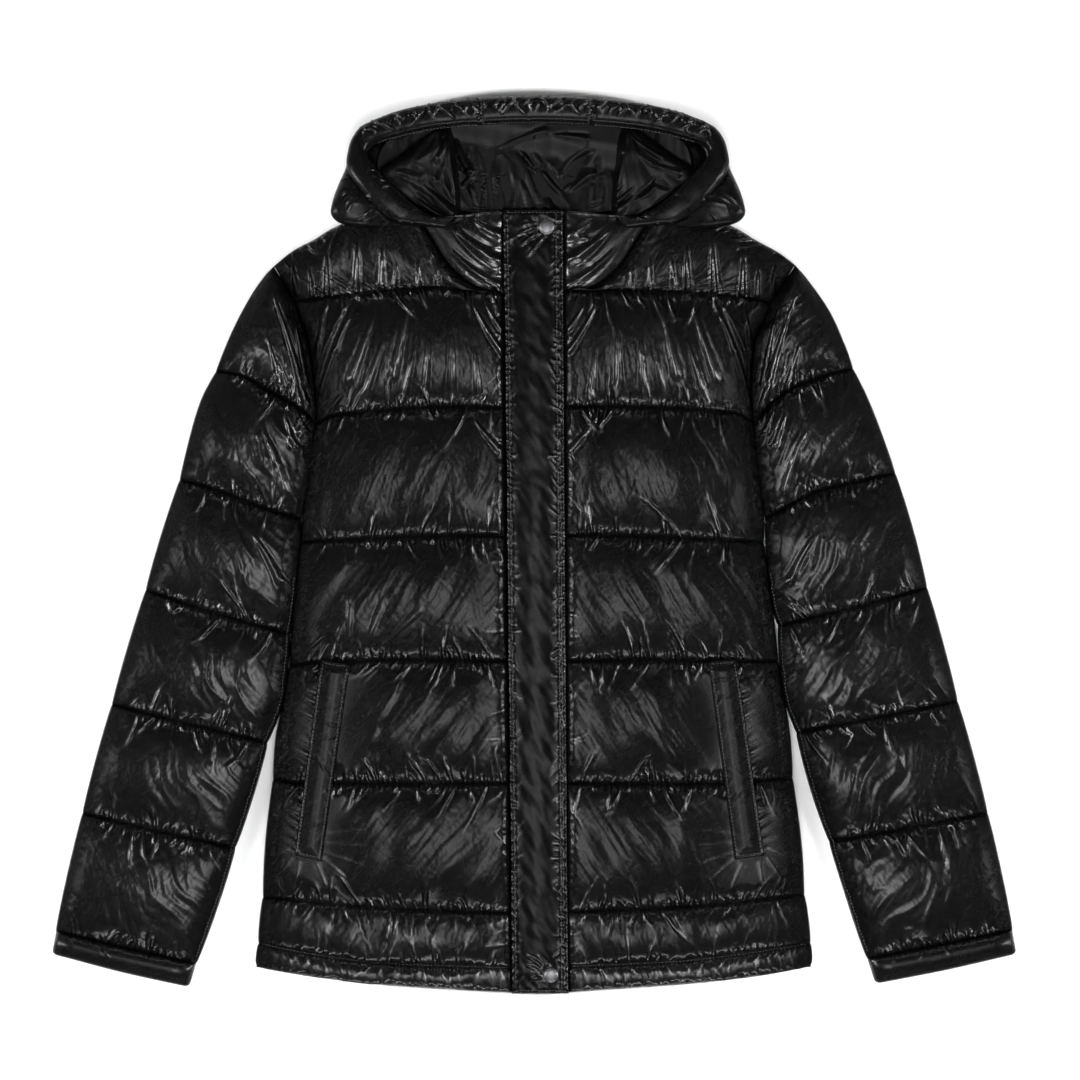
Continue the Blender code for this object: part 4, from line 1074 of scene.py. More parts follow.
class Piece:
    """A finished mesh object that rides on the jacket."""

    def __init__(self, name: str, points: np.ndarray, faces: Sequence[Any], marks: Any = None) -> None:
        """Makes the object.

        Args:
            name: The name of the piece.
            points: Its points, in metres.
            faces: Its faces, as indices of points.
            marks: For each point the distance along its seam and to it, its row and its creases.
        """
        mesh = bpy.data.meshes.new(name)
        mesh.from_pydata(points.reshape(-1, 3).tolist(), [], faces)
        if marks is not None:
            layer = mesh.attributes.new("quilt", "FLOAT_COLOR", "POINT")
            layer.data.foreach_set("color", np.asarray(marks, np.float32).ravel())
        shape = bmesh.new()
        shape.from_mesh(mesh)
        bmesh.ops.recalc_face_normals(shape, faces=shape.faces)
        shape.to_mesh(mesh)
        shape.free()
        mesh.shade_smooth()
        self.object = bpy.data.objects.new(name, mesh)
        bpy.context.scene.collection.objects.link(self.object)

    @classmethod
    def backed(cls, name: str, top: np.ndarray, floor: float, marks: np.ndarray) -> "Piece":
        """A padded panel with a worked outer face and a flat hidden one.

        Args:
            name: The name of the piece.
            top: The grid of its outer face, drawn from the outside.
            floor: The height of the flat face, in metres.
            marks: The seam marks of the grid.

        Returns:
            The closed piece.
        """
        rows, columns = top.shape[:2]
        border = border_of(rows, columns)
        flat = top.reshape(-1, 3)[border].copy()
        flat[:, 2] = floor
        under = rows * columns + np.arange(len(border))
        sides = np.stack((np.roll(border, -1), border, under, np.roll(under, -1)), -1)
        faces = [*grid_faces(rows, columns).tolist(), *sides.tolist(), under[::-1].tolist()]
        every = marks.reshape(-1, 4)
        return cls(name, np.vstack((top.reshape(-1, 3), flat)), faces, np.vstack((every, every[border])))

    @classmethod
    def ringed(cls, name: str, rings: np.ndarray, marks: Any = None) -> "Piece":
        """A piece through rings of points, with a lid on both ends.

        Args:
            name: The name of the piece.
            rings: The rings, each with its points in the same order.
            marks: The seam marks of the rings.

        Returns:
            The closed piece.
        """
        count, around = rings.shape[:2]
        spots = np.arange(count * around).reshape(count, around)
        after = np.roll(spots, -1, axis=1)
        quads = np.stack((spots[:-1], spots[1:], after[1:], after[:-1]), -1).reshape(-1, 4)
        lids = (spots[0].tolist(), spots[-1, ::-1].tolist())
        return cls(name, rings, [*quads.tolist(), *lids], marks)

    @classmethod
    def shell(cls, name: str, upper: np.ndarray, wall: float, marks: np.ndarray) -> "Piece":
        """A thin sheet with its two faces a wall apart.

        Args:
            name: The name of the piece.
            upper: The grid of its outer face.
            wall: Its thickness, in metres.
            marks: The seam marks of the grid.

        Returns:
            The closed piece.
        """
        rows, columns = upper.shape[:2]
        lower = upper - wall * normals_of(upper)
        border = border_of(rows, columns)
        count = rows * columns
        sides = np.stack((np.roll(border, -1), border, border + count, np.roll(border, -1) + count), -1)
        under = grid_faces(rows, columns, flip=True) + count
        faces = [*grid_faces(rows, columns).tolist(), *under.tolist(), *sides.tolist()]
        return cls(name, np.stack((upper, lower)), faces, np.stack((marks, marks)))

    def creased(self, columns: int, seams: Iterable[int]) -> "Piece":
        """Keeps the shading sharp along grid rows that are seams.

        Args:
            columns: Number of points in each grid row.
            seams: The rows that are seams.

        Returns:
            The piece itself.
        """
        mesh = self.object.data
        ends = np.zeros(2 * len(mesh.edges), int)
        mesh.edges.foreach_get("vertices", ends)
        rows = ends.reshape(-1, 2) // columns
        sharp = (rows[:, 0] == rows[:, 1]) & np.isin(rows[:, 0], list(seams))
        layer = mesh.attributes.new("sharp_edge", "BOOLEAN", "EDGE")
        layer.data.foreach_set("value", sharp)
        return self

    def dress(self, material: bpy.types.Material, slot: str, nodes: Sequence[str] = ()) -> "Piece":
        """Gives the piece its finish and its place in the frame.

        Args:
            material: The material that it shows.
            slot: Not used.
            nodes: The frame's nodes that it stands for.

        Returns:
            The piece itself.
        """
        mesh = self.object.data
        mesh.materials.append(material)
        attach(self.object, "root")
        if nodes:
            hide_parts(*nodes)
        triangles = sum(face.loop_total - 2 for face in mesh.polygons)
        LOG.info("%s: %d triangles", self.object.name, triangles)
        return self

    def stuffed(self, fill: float = 0.6) -> "Piece":
        return self


class Signal:
    """A shader socket whose arithmetic adds nodes."""

    def __init__(self, paint: "Paint", socket: bpy.types.NodeSocket) -> None:
        """Wraps a socket of a material that is being painted."""
        self.paint = paint
        self.socket = socket

    def joined(self, operation: str, first: Any, second: Any) -> "Signal":
        """Adds a Math node that joins two values."""
        return self.paint.node("ShaderNodeMath", {"operation": operation}, {0: first, 1: second})

    def __add__(self, other: Any) -> "Signal":
        """This value plus another."""
        return self.joined("ADD", self, other)

    __radd__ = __add__

    def __mul__(self, other: Any) -> "Signal":
        """This value times another."""
        return self.joined("MULTIPLY", self, other)

    __rmul__ = __mul__

    def __sub__(self, other: Any) -> "Signal":
        """This value less another."""
        return self.joined("SUBTRACT", self, other)

    def __rsub__(self, other: Any) -> "Signal":
        """Another value less this one."""
        return self.joined("SUBTRACT", other, self)

    def __truediv__(self, other: Any) -> "Signal":
        """This value divided by another."""
        return self.joined("DIVIDE", self, other)

    def __rtruediv__(self, other: Any) -> "Signal":
        """Another value divided by this one."""
        return self.joined("DIVIDE", other, self)

    def above(self, low: float) -> "Signal":
        """This value, or low where it is lower."""
        return self.joined("MAXIMUM", self, low)

    def size(self) -> "Signal":
        """This value without its sign."""
        return self.paint.node("ShaderNodeMath", {"operation": "ABSOLUTE"}, {0: self})


class Paint:
    """Builds the nodes of one material."""

    def __init__(self, name: str) -> None:
        """Starts a material with its shader.

        Args:
            name: The name of the material.
        """
        self.material = bpy.data.materials.new(name)
        self.material.use_nodes = True
        self.tree = self.material.node_tree
        self.shader = self.tree.nodes["Principled BSDF"]

    def node(
        self, kind: str, settings: dict | None = None, inputs: dict | None = None, output: Any = 0
    ) -> Signal:
        """Adds a node.

        Args:
            kind: The node's type.
            settings: Its properties, such as an operation.
            inputs: Values or links of its sockets, by name or number.
            output: The output to read, by name or number.

        Returns:
            That output, ready for arithmetic.
        """
        made = self.tree.nodes.new(kind)
        for key, value in (settings or {}).items():
            setattr(made, key, value)
        for key, value in (inputs or {}).items():
            if isinstance(value, Signal):
                self.tree.links.new(value.socket, made.inputs[key])
            else:
                made.inputs[key].default_value = value
        return Signal(self, made.outputs[output])

    def feed(self, name: str, value: Any) -> None:
        """Sets or links one socket of the shader."""
        if isinstance(value, Signal):
            self.tree.links.new(value.socket, self.shader.inputs[name])
        else:
            self.shader.inputs[name].default_value = value

    def place(self) -> Signal:
        """The point on the object, in metres."""
        return self.node("ShaderNodeTexCoord", output="Object")

    def stretched(self, vector: Signal, scale: Sequence[float], turn: float = 0.0) -> Signal:
        """A point with its axes turned about Z and measured in units of scale."""
        inputs = {"Vector": vector, "Scale": scale, "Rotation": (0.0, 0.0, turn)}
        return self.node("ShaderNodeMapping", {"vector_type": "TEXTURE"}, inputs)

    def noise(self, vector: Signal, scale: float, detail: float = 2.0, distortion: float = 0.0) -> Signal:
        """Noise from 0 to 1 with features of about 1 / scale."""
        inputs = {"Vector": vector, "Scale": scale, "Detail": detail, "Distortion": distortion}
        return self.node("ShaderNodeTexNoise", {}, inputs)

    def bump(self, height: Signal) -> None:
        """Feeds the shader's normal from a height in metres."""
        self.feed("Normal", self.node("ShaderNodeBump", {}, {"Height": height, "Distance": 1.0}))


@dataclass(frozen=True)
class ClothFinish:
    """Woven cloth with a coated face: how dark, how glossy and how crinkled it is."""

    name: str
    color: tuple[float, float, float] = (0.0006, 0.0006, 0.0007)
    roughness: float = 0.28
    unevenness: float = 0.10
    specular: float = 0.045
    coat: float = 0.95
    coat_roughness: float = 0.23
    crinkle: float = 0.0007
    crinkle_size: float = 0.0038
    pucker: float = 0.0013
    pucker_width: float = 0.0023

    def material(self) -> bpy.types.Material:
        """Paints the material."""
        paint = Paint(self.name)
        place = paint.place()
        paint.feed("Base Color", (*self.color, 1.0))
        paint.feed("Specular IOR Level", self.specular)
        marks = {"attribute_name": "quilt"}
        away = paint.node("ShaderNodeAttribute", marks, output="Vector")
        away = paint.node("ShaderNodeSeparateXYZ", inputs={0: away}, output=1)
        seam = (1.0 - away / SEAM_REACH).above(0.0)
        paint.feed("Coat Weight", self.coat * paint.node("ShaderNodeAttribute", marks, output="Alpha"))
        paint.feed("Coat Roughness", self.coat_roughness)
        patches = paint.noise(place, 26.0, 3.0, 0.8)
        paint.feed("Roughness", self.roughness + self.unevenness * (patches - 0.5))
        size = self.crinkle_size
        slant = paint.stretched(place, (0.6 * size, 1.7 * size, size), math.radians(-38))
        creases = (paint.noise(slant, 1.0, 2.0, 1.2) - 0.5).size()
        other = paint.stretched(place, (0.3 * size, 0.8 * size, size), math.radians(24))
        height = self.crinkle * (1.0 - 4.0 * creases) + 0.4 * self.crinkle * paint.noise(other, 1.0, 2.0, 0.8)
        if self.pucker:
            height = height + self.puckers(paint, seam)
        paint.bump(height)
        return paint.material

    def puckers(self, paint: Paint, seam: Signal) -> Signal:
        """Short fine creases that run out of the seams.

        Args:
            paint: The material that is being painted.
            seam: 1 on a seam and 0 away from it.

        Returns:
            Their height, in metres.
        """
        marks = paint.node("ShaderNodeAttribute", {"attribute_name": "quilt"}, output="Vector")
        streaks = paint.noise(paint.stretched(marks, (self.pucker_width, 0.02, 0.11)), 1.0, 2.0, 0.4)
        return self.pucker * seam * seam * (1.0 - 2.0 * (streaks - 0.5).size())


@dataclass(frozen=True)
class MetalFinish:
    """Dark plated metal of the snap caps."""

    name: str = "gunmetal"
    color: tuple[float, float, float] = (0.10, 0.10, 0.106)
    roughness: float = 0.34

    def material(self) -> bpy.types.Material:
        """Paints the material."""
        paint = Paint(self.name)
        paint.feed("Base Color", (*self.color, 1.0))
        paint.feed("Metallic", 1.0)
        paint.feed("Roughness", self.roughness + 0.1 * paint.noise(paint.place(), 700.0))
        return paint.material


@dataclass(frozen=True)
class ThreadFinish:
    """Black sewing thread with a faint sheen."""

    name: str = "thread"
    color: tuple[float, float, float] = (0.022, 0.022, 0.023)
    roughness: float = 0.28

    def material(self) -> bpy.types.Material:
        """Paints the material."""
        paint = Paint(self.name)
        paint.feed("Base Color", (*self.color, 1.0))
        place = paint.place()
        paint.feed("Roughness", self.roughness + 0.1 * paint.noise(place, 900.0))
        paint.bump(0.00004 * paint.noise(place, 3000.0))
        return paint.material


class Wardrobe:
    """The materials of the jacket."""

    def __init__(self) -> None:
        """Paints them all."""
        self.shell = ClothFinish("shell_nylon").material()
        self.flap = ClothFinish("flap_nylon", roughness=0.38, coat=0.55, specular=0.015).material()
        self.lining = ClothFinish(
            "lining_satin",
            color=(0.0012, 0.0012, 0.0014),
            roughness=0.36,
            unevenness=0.06,
            specular=0.08,
            coat=0.04,
            coat_roughness=0.3,
            crinkle=0.00002,
            crinkle_size=0.005,
            pucker=0.0,
        ).material()
        self.metal = MetalFinish().material()
        self.thread = ThreadFinish().material()


class Stitching:
    """Rows of stitches that make up one piece."""

    SIDES = 4
    SWELL = (0.4, 1.1, 0.4)
    REACH = (0.0, 0.5, 1.0)

    def __init__(self, name: str, pitch: float = 3.2, length: float = 2.4, radius: float = 0.48) -> None:
        """Starts with no stitches.

        Args:
            name: The name of the piece.
            pitch: Distance from stitch to stitch, in millimetres.
            length: Length of a stitch, in millimetres.
            radius: Radius of the thread, in millimetres.
        """
        self.name = name
        self.pitch = pitch * MM
        self.length = length * MM
        self.radius = radius * MM
        self.rings: list[np.ndarray] = []

    def run(self, path: np.ndarray, lift: float) -> None:
        """Adds stitches along a path.

        Args:
            path: Points on the cloth, in metres.
            lift: How far the stitches lie above them, in metres.
        """
        line = Curve(path + (0, 0, lift), rounded=False)
        count = max(1, int(line.length / self.pitch))
        shift = 0.5 * (line.length - count * self.pitch + self.pitch - self.length)
        starts = shift + self.pitch * np.arange(count)
        shares = (starts[:, None] + self.length * np.array(self.REACH)) / line.length
        spots = line.at(shares)
        ahead = spots[:, -1] - spots[:, 0]
        ahead /= np.maximum(np.linalg.norm(ahead, axis=1, keepdims=True), 1e-9)
        aside = np.stack((-ahead[:, 1], ahead[:, 0], np.zeros(count)), -1)
        aside /= np.maximum(np.linalg.norm(aside, axis=1, keepdims=True), 1e-9)
        upward = np.cross(ahead, aside)
        turns = 2 * math.pi * np.arange(self.SIDES) / self.SIDES
        swell = self.radius * np.array(self.SWELL)[None, :, None, None]
        spokes = np.cos(turns)[None, None, :, None] * aside[:, None, None]
        spokes = spokes + np.sin(turns)[None, None, :, None] * upward[:, None, None]
        self.rings.append(spots[:, :, None] + swell * spokes)

    def piece(self) -> Piece:
        """Makes the piece of all stitches."""
        rings = np.concatenate(self.rings)
        count, steps, sides = rings.shape[:3]
        spots = np.arange(steps * sides).reshape(steps, sides)
        after = np.roll(spots, -1, axis=1)
        quads = np.stack((spots[:-1], after[:-1], after[1:], spots[1:]), -1).reshape(-1, 4)
        lids = np.stack((spots[0, ::-1], spots[-1]))
        one = np.concatenate((quads, lids))
        faces = (one[None] + (steps * sides * np.arange(count))[:, None, None]).reshape(-1, 4)
        return Piece(self.name, rings.reshape(-1, 3), faces.tolist())


class Studio:
    """Floor, lights and camera."""

    CAMERA_HEIGHT = 5.0
    CLOTH_LEVEL = 0.016
    FLOOR_REACH = 12.0
    SURROUND = 0.035

    # Place, width and height in metres, and power in watts of each light.
    LIGHTS = {
        "overhead_core": ((0.0, -0.24, 2.40), (0.4, 0.55), 12.0),
        "overhead_middle": ((0.0, -0.24, 2.41), (0.75, 1.0), 15.0),
        "overhead_wide": ((0.0, -0.24, 2.42), (1.3, 1.6), 3.0),
        "left_strip": ((-1.8, -0.1, 1.3), (0.1, 1.7), 56.0),
        "right_strip": ((1.8, -0.1, 1.3), (0.1, 1.7), 56.0),
        "foot_strip": ((0.0, -1.9, 1.4), (1.6, 0.12), 25.0),
        "head_strip": ((0.0, 1.9, 1.4), (1.2, 0.1), 4.0),
    }

    def build(self) -> None:
        """Makes the white floor, the soft light and the camera above the jacket."""
        self.floor()
        for name, (place, size, power) in self.LIGHTS.items():
            self.light(name, place, size, power)
        self.world()
        self.camera()
        bpy.context.scene.view_settings.view_transform = "Standard"

    def floor(self) -> None:
        """Lays a plain floor, wide enough to fill every view."""
        reach = self.FLOOR_REACH
        corners = [(-reach, -reach, 0), (reach, -reach, 0), (reach, reach, 0), (-reach, reach, 0)]
        mesh = bpy.data.meshes.new("floor")
        mesh.from_pydata(corners, [], [(0, 1, 2, 3)])
        floor = bpy.data.objects.new("floor", mesh)
        bpy.context.scene.collection.objects.link(floor)
        paint = Paint("floor_paper")
        paint.feed("Base Color", (0.93, 0.93, 0.93, 1.0))
        paint.feed("Roughness", 0.9)
        paint.feed("Specular IOR Level", 0.1)
        mesh.materials.append(paint.material)

    def light(self, name: str, place: Sequence[float], size: tuple[float, float], power: float) -> None:
        """Adds a soft light that points at the jacket.

        Args:
            name: Its name.
            place: Where it hangs, in metres.
            size: Its width and height, in metres.
            power: Its power, in watts.
        """
        lamp = bpy.data.lights.new(name, "AREA")
        lamp.shape = "RECTANGLE"
        lamp.size, lamp.size_y = size
        lamp.energy = power
        made = bpy.data.objects.new(name, lamp)
        made.location = place
        made.rotation_mode = "QUATERNION"
        made.rotation_quaternion = (-Vector(place)).to_track_quat("-Z", "Y")
        made.visible_camera = False
        bpy.context.scene.collection.objects.link(made)

    def world(self) -> None:
        """Adds an even pale surround."""
        world = bpy.data.worlds.new("surround")
        world.use_nodes = True
        back = world.node_tree.nodes["Background"]
        back.inputs["Color"].default_value = (1.0, 1.0, 1.0, 1.0)
        back.inputs["Strength"].default_value = self.SURROUND
        bpy.context.scene.world = world

    def camera(self) -> None:
        """Hangs a camera that looks straight down and frames the whole jacket."""
        lens = bpy.data.cameras.new("camera")
        height = self.CAMERA_HEIGHT - self.CLOTH_LEVEL
        lens.sensor_width = 36.0
        lens.lens = lens.sensor_width * height / (MM * FRAME_WIDTH)
        camera = bpy.data.objects.new("camera", lens)
        x, y = MM * np.array(CAMERA_MIDDLE)
        camera.location = (x, y, self.CAMERA_HEIGHT)
        bpy.context.scene.collection.objects.link(camera)
        bpy.context.scene.camera = camera


def placed(side: Side, points: Iterable[Sequence[float]]) -> np.ndarray:
    """Points of the tables on one side of the jacket, in the plan of the frame."""
    return np.array([(side.sign * out + SHIFT[0], up + SHIFT[1]) for out, up in points])


def edged(side: Side, top: Sequence, foot: Sequence, near: Sequence, far: Sequence) -> tuple[Curve, ...]:
    """The edge curves of one row, ordered so that its columns run towards +x.

    Args:
        side: The wearer's side of the jacket.
        top: Points of the row's upper line, from its outer end.
        foot: Points of its lower line, from its outer end.
        near: Points of its outer edge, downwards.
        far: Points of its inner edge, downwards.

    Returns:
        The top, foot, near and far curves.
    """
    if side is Side.LEFT:
        top, foot, near, far = top[::-1], foot[::-1], far, near
    return tuple(Curve(placed(side, points)) for points in (top, foot, near, far))


def evened(quilt: Quilt, heights: np.ndarray, blur: float = 1.3) -> np.ndarray:
    """Evens out the heights of settled cloth and measures them in crowns of their row.

    Args:
        quilt: The sheet.
        heights: Its settled heights, 0 at the seams.
        blur: How far heights are evened out, in grid cells.

    Returns:
        Heights from 0 at the seams to about 1 at the crown of each row.
    """
    reach = math.ceil(3 * blur)
    weights = np.exp(-0.5 * (np.arange(-reach, reach + 1) / blur) ** 2)
    found = np.zeros(quilt.shape)
    for first, last in zip(quilt.seams, quilt.seams[1:]):
        band = np.maximum(heights[first : last + 1], 0)
        for axis in (0, 1):
            rows = np.moveaxis(band, axis, 0)
            room = min(reach, len(rows) - 1)
            wide = np.concatenate((-rows[room:0:-1], rows, -rows[-2 : -room - 2 : -1]))
            core = weights[reach - room : reach + room + 1]
            rows = sum(w * wide[n : n + len(rows)] for n, w in enumerate(core / core.sum()))
            band = np.moveaxis(rows, 0, axis)
        crown = np.percentile(band.max(axis=0), 75)
        found[first : last + 1] = band / max(crown, 1e-4)
    return np.clip(found, 0, None)


def sided(quilt: Quilt, unit: np.ndarray, reach: float, near: float, far: float) -> np.ndarray:
    """Lets the heights of settled cloth turn into a smooth puff towards the side edges.

    Args:
        quilt: The sheet.
        unit: Heights in crowns of the row.
        reach: Where the smooth puff begins, in metres from the edge.
        near: How far the puff is rounded at the first column, in metres.
        far: How far it is rounded at the last column, in metres.

    Returns:
        The new heights in crowns of the row.
    """
    lens = quilt.lens() * quarter_round(quilt.edge_distance(far=False), near)
    lens = lens * quarter_round(quilt.edge_distance(near=False), far)
    settled = smooth((quilt.edge_distance() - 0.35 * reach) / reach)
    return settled * unit + (1 - settled) * lens


def seam_gathers(quilt: Quilt, seed: int) -> np.ndarray:
    """The long and the short folds that run out of the quilting lines.

    Args:
        quilt: The sheet.
        seed: The number that the draws start from.

    Returns:
        Their heights, in millimetres.
    """
    found = Gathers(seed, rise=1.2, above=0.8, below=1.0).height(quilt)
    return found + Gathers(seed + 1, 5.5, (3.0, 11.0), (0.8, 1.5), 0.45, 0.3, 1.0, 0.5).height(quilt)


def seam_level(edge: np.ndarray, reach: float) -> np.ndarray:
    """Height of the quilting lines, which come down towards the side seam.

    Args:
        edge: Distance to the side seam, in metres.
        reach: The distance at which they come down.

    Returns:
        The height, in metres.
    """
    return MM * (SEAM_HEIGHT - (SEAM_HEIGHT - SIDE_SEAM_HEIGHT) * (1 - smooth(edge / reach)))


def resting(puff: np.ndarray) -> np.ndarray:
    """Height of an underside, in metres, which lies on the ground where it is well puffed."""
    return MM * UNDER_SEAM_HEIGHT * np.maximum(0.0, 1 - 1.35 * puff)


def sewn_piece(
    name: str, quilt: Quilt, grid: np.ndarray, marks: np.ndarray, floor: float, lines: range
) -> Piece:
    """A padded piece from the rows of a sheet between some of its quilting lines.

    Args:
        name: The name of the piece.
        quilt: The whole sheet.
        grid: Its points.
        marks: Its marks.
        floor: The height of the piece's hidden face, in millimetres.
        lines: The numbers of the quilting lines, with the two that bound the piece.

    Returns:
        The piece, without its finish.
    """
    seams = [quilt.seams[line] for line in lines]
    rows = slice(seams[0], seams[-1] + 1)
    piece = Piece.backed(name, grid[rows], MM * floor, marks[rows])
    return piece.creased(grid.shape[1], [seam - seams[0] for seam in seams])


def domed(share: np.ndarray, peak: float, near: float, far: float) -> np.ndarray:
    """How full the rows are across a panel, 1 at the peak and less towards both sides.

    Args:
        share: Share of the width of each point.
        peak: The share at which the rows are fullest.
        near: How much less full they are at share 0.
        far: How much less full they are at share 1.

    Returns:
        The factor for each point.
    """
    below = np.clip((peak - share) / peak, 0, 1) ** 2
    above = np.clip((share - peak) / (1 - peak), 0, 1) ** 2
    return 1 - near * below - far * above


def puffed(
    quilt: Quilt,
    unit: np.ndarray,
    puffs: Sequence[float],
    gathers: np.ndarray,
    slants: Any,
    waves: Any = WAVES,
) -> np.ndarray:
    """Heights of a padded sheet, in metres.

    Args:
        quilt: The sheet.
        unit: Heights in crowns of the row.
        puffs: The height of each row's crown, in millimetres.
        gathers: How far the folds at the seams stand out.
        slants: How far the soft waves of each row lean, as a share of the way down.
        waves: The height of the soft waves, in millimetres.

    Returns:
        The heights; a fold rises more steeply from its seam than the cloth beside it.
    """
    crown = MM * np.array(puffs)[quilt.row_numbers()][:, None]
    grain = Grain(int(quilt.shape[0]))
    along, down = quilt.along(), quilt.down()
    slant = (np.zeros(len(puffs)) + slants)[quilt.row_numbers()][:, None]
    lean = along + 0.012 * grain.at(along / 0.05, down / 0.05 + 80) + slant * down
    sway = 0.8 * grain.at(lean / 0.013, down / 0.07) + 0.45 * grain.at(lean / 0.006, down / 0.03 + 40)
    sway = sway + 0.7 * grain.ridged(lean / 0.016 + 9, down / 0.05 + 20) ** 4
    unit = np.clip(unit, 0, 1.25)
    broad = grain.at((along + 1.2 * slant * down) / 0.045 + 30, (down - 0.8 * slant * along) / 0.12 + 60)
    swell = BROAD_WAVES * broad + waves * sway
    fine = grain.ridged((along + 1.3 * slant * down) / 0.0055 + 3, down / 0.011 + 7) ** 2
    fine = fine + grain.ridged((along - 0.9 * slant * down) / 0.004 + 50, down / 0.009 + 17) ** 2
    swell = swell + CREASES * fine
    return crown * unit ** (FLATNESS * np.exp(-gathers)) + MM * swell * np.clip(unit, 0, 1) ** 0.5


@dataclass
class Front:
    """One front of the body: the yoke, five puffed rows and the hem band."""

    side: Side
    wardrobe: Wardrobe
    stitching: Stitching
    folds: Sequence[Fold]
    cell: float = 3.2
    columns: int = 53
    puffs: Sequence[float] = (9.5, 13.5, 13.5, 13.5, 13.5, 13.5, 8.5, 5.5)
    welt_height: float = 6.5
    welt_reach: float = 0.0115

    def rows(self) -> list[tuple[Curve, ...]]:
        """The edge curves of each row."""
        lines = FRONT_LINES[self.side]
        found = []
        for row, between in enumerate(SIDE_EDGES[self.side]):
            upper, lower = lines[row], lines[row + 1]
            neck = NECK_EDGE if row == 0 else ()
            outer = (upper[0], *between, lower[0])
            found.append(edged(self.side, upper, lower, outer, (upper[-1], *neck, lower[-1])))
        return found

    def build(self) -> None:
        """Settles the front and makes its panel and its hem band."""
        quilt = Quilt.between(self.rows(), np.linspace(0, 1, self.columns), self.cell)
        cloth = Padding(seed=3 + self.side.seed).settle(quilt, quilt.sewn())
        unit = evened(quilt, cloth[..., 2])
        fine = quilt.fine()
        rounding = self.side.choose((0.02, 0.007), (0.007, 0.02))
        unit = sided(fine, quilt.finer(unit), 0.024, *rounding)
        plan = quilt.finer(cloth[..., :2])
        gathers = self.gathers(fine) * np.clip(fine.edge_distance() / 0.004, 0, 1)
        height = puffed(fine, unit, self.puffs, gathers, -self.side.sign * np.array(FRONT_SLANTS))
        along = fine.along() / fine.along()[:, -1:]
        height *= domed(self.side.choose(along, 1 - along), 0.68, 0.5, 0.3)
        ticks = self.flap_gathers(fine)
        height += 0.9 * MM * ticks * np.clip(unit, 0, 1)
        folded = sum(fold.height(plan) for fold in self.folds) * fine.fade(FOLD_FADE)
        height, puckers = self.pressed(fine, height + folded)
        outer = fine.outer_distance(self.side)
        height += seam_level(outer, 0.012)
        cloth = raised(plan, height)
        self.bulge(fine, cloth, outer)
        creased = np.abs(gathers) + np.abs(ticks) + 0.7 * np.abs(folded + puckers) / MM
        shown = smooth((outer - 0.003) / 0.045) * smooth(fine.edge_distance() / 0.005)
        marks = fine.marks(creased, shown)
        grid, marks = tucked(self.side, cloth, marks)
        word = self.side.word
        for name, node, lines in (("front", "front_panel", BODY_LINES), ("hem_front", "hem_band", HEM_LINES)):
            piece = sewn_piece(f"{name}_{word}", fine, grid, marks, FRONT_LOW, lines)
            piece.dress(self.wardrobe.shell, "shell", [f"{node}_{word}"]).stuffed()
        self.stitching.run(cloth[fine.seams[HEM_STITCH_LINE], 2:-2], 0.0003)

    def gathers(self, quilt: Quilt) -> np.ndarray:
        """How far the folds at the seams stand out.

        Args:
            quilt: The sheet.

        Returns:
            The heights, in millimetres.
        """
        seed = self.side.choose(20, 60)
        found = seam_gathers(quilt, seed)
        foot = quilt.seams[HEM_STITCH_LINE]
        found[foot:] += Gathers(seed + 4, 6.5, (5.0, 13.0), (1.0, 2.2), 1.6, 0.7).height(quilt)[foot:]
        return found * smooth(quilt.outer_distance(self.side) / 0.022)

    def flap_gathers(self, quilt: Quilt) -> np.ndarray:
        """How far the folds that run out from under the flap stand out.

        Args:
            quilt: The sheet.

        Returns:
            The heights, in millimetres.
        """
        flap = quilt.turned([0, quilt.shape[1] - 1])
        inner = self.side.choose((1.0, 0.0), (0.0, 1.0))
        seed = self.side.choose(22, 62)
        found = Gathers(seed, 6.5, (5.0, 30.0), (1.0, 2.6), 0.9, 0.7, *inner).height(flap).T
        return found * quilt.fade(0.004)

    def pressed(self, quilt: Quilt, height: np.ndarray) -> tuple[np.ndarray, np.ndarray]:
        """Holds the padding down under the welt and puckers it along the welt's outer edge.

        Args:
            quilt: The sheet.
            height: Its heights, in metres.

        Returns:
            The new heights, and those of the puckers alone.
        """
        corners = placed(self.side, WELT_CORNERS[self.side]) * MM
        upper, lower = corners[:2].mean(axis=0), corners[2:].mean(axis=0)
        run = lower - upper
        length = np.linalg.norm(run)
        offset = quilt.plan - upper
        share = np.clip(offset @ run / length**2, 0, 1)
        away = np.linalg.norm(offset - share[..., None] * run, axis=2) - self.welt_reach
        held = MM * self.welt_height + height.clip(0, None) * 0.1
        below = (np.arange(quilt.shape[0]) > quilt.seams[WELT_LINE])[:, None]
        near = (1 - smooth(away / 0.05)) * below
        outside = self.side.sign * (offset @ np.array((run[1], -run[0]))) < 0
        beside = (share > 0.01) & (share < 0.99) & (away > 0) & outside & below
        grain = Grain(35)
        puckers = 1.1 * MM * grain.at(share * length / 0.0042 + away / 0.012, away / 0.03)
        puckers = puckers * np.exp(-np.clip(away, 0, None) / 0.006) * beside
        return height + (np.minimum(height, held) - height) * near + puckers, puckers

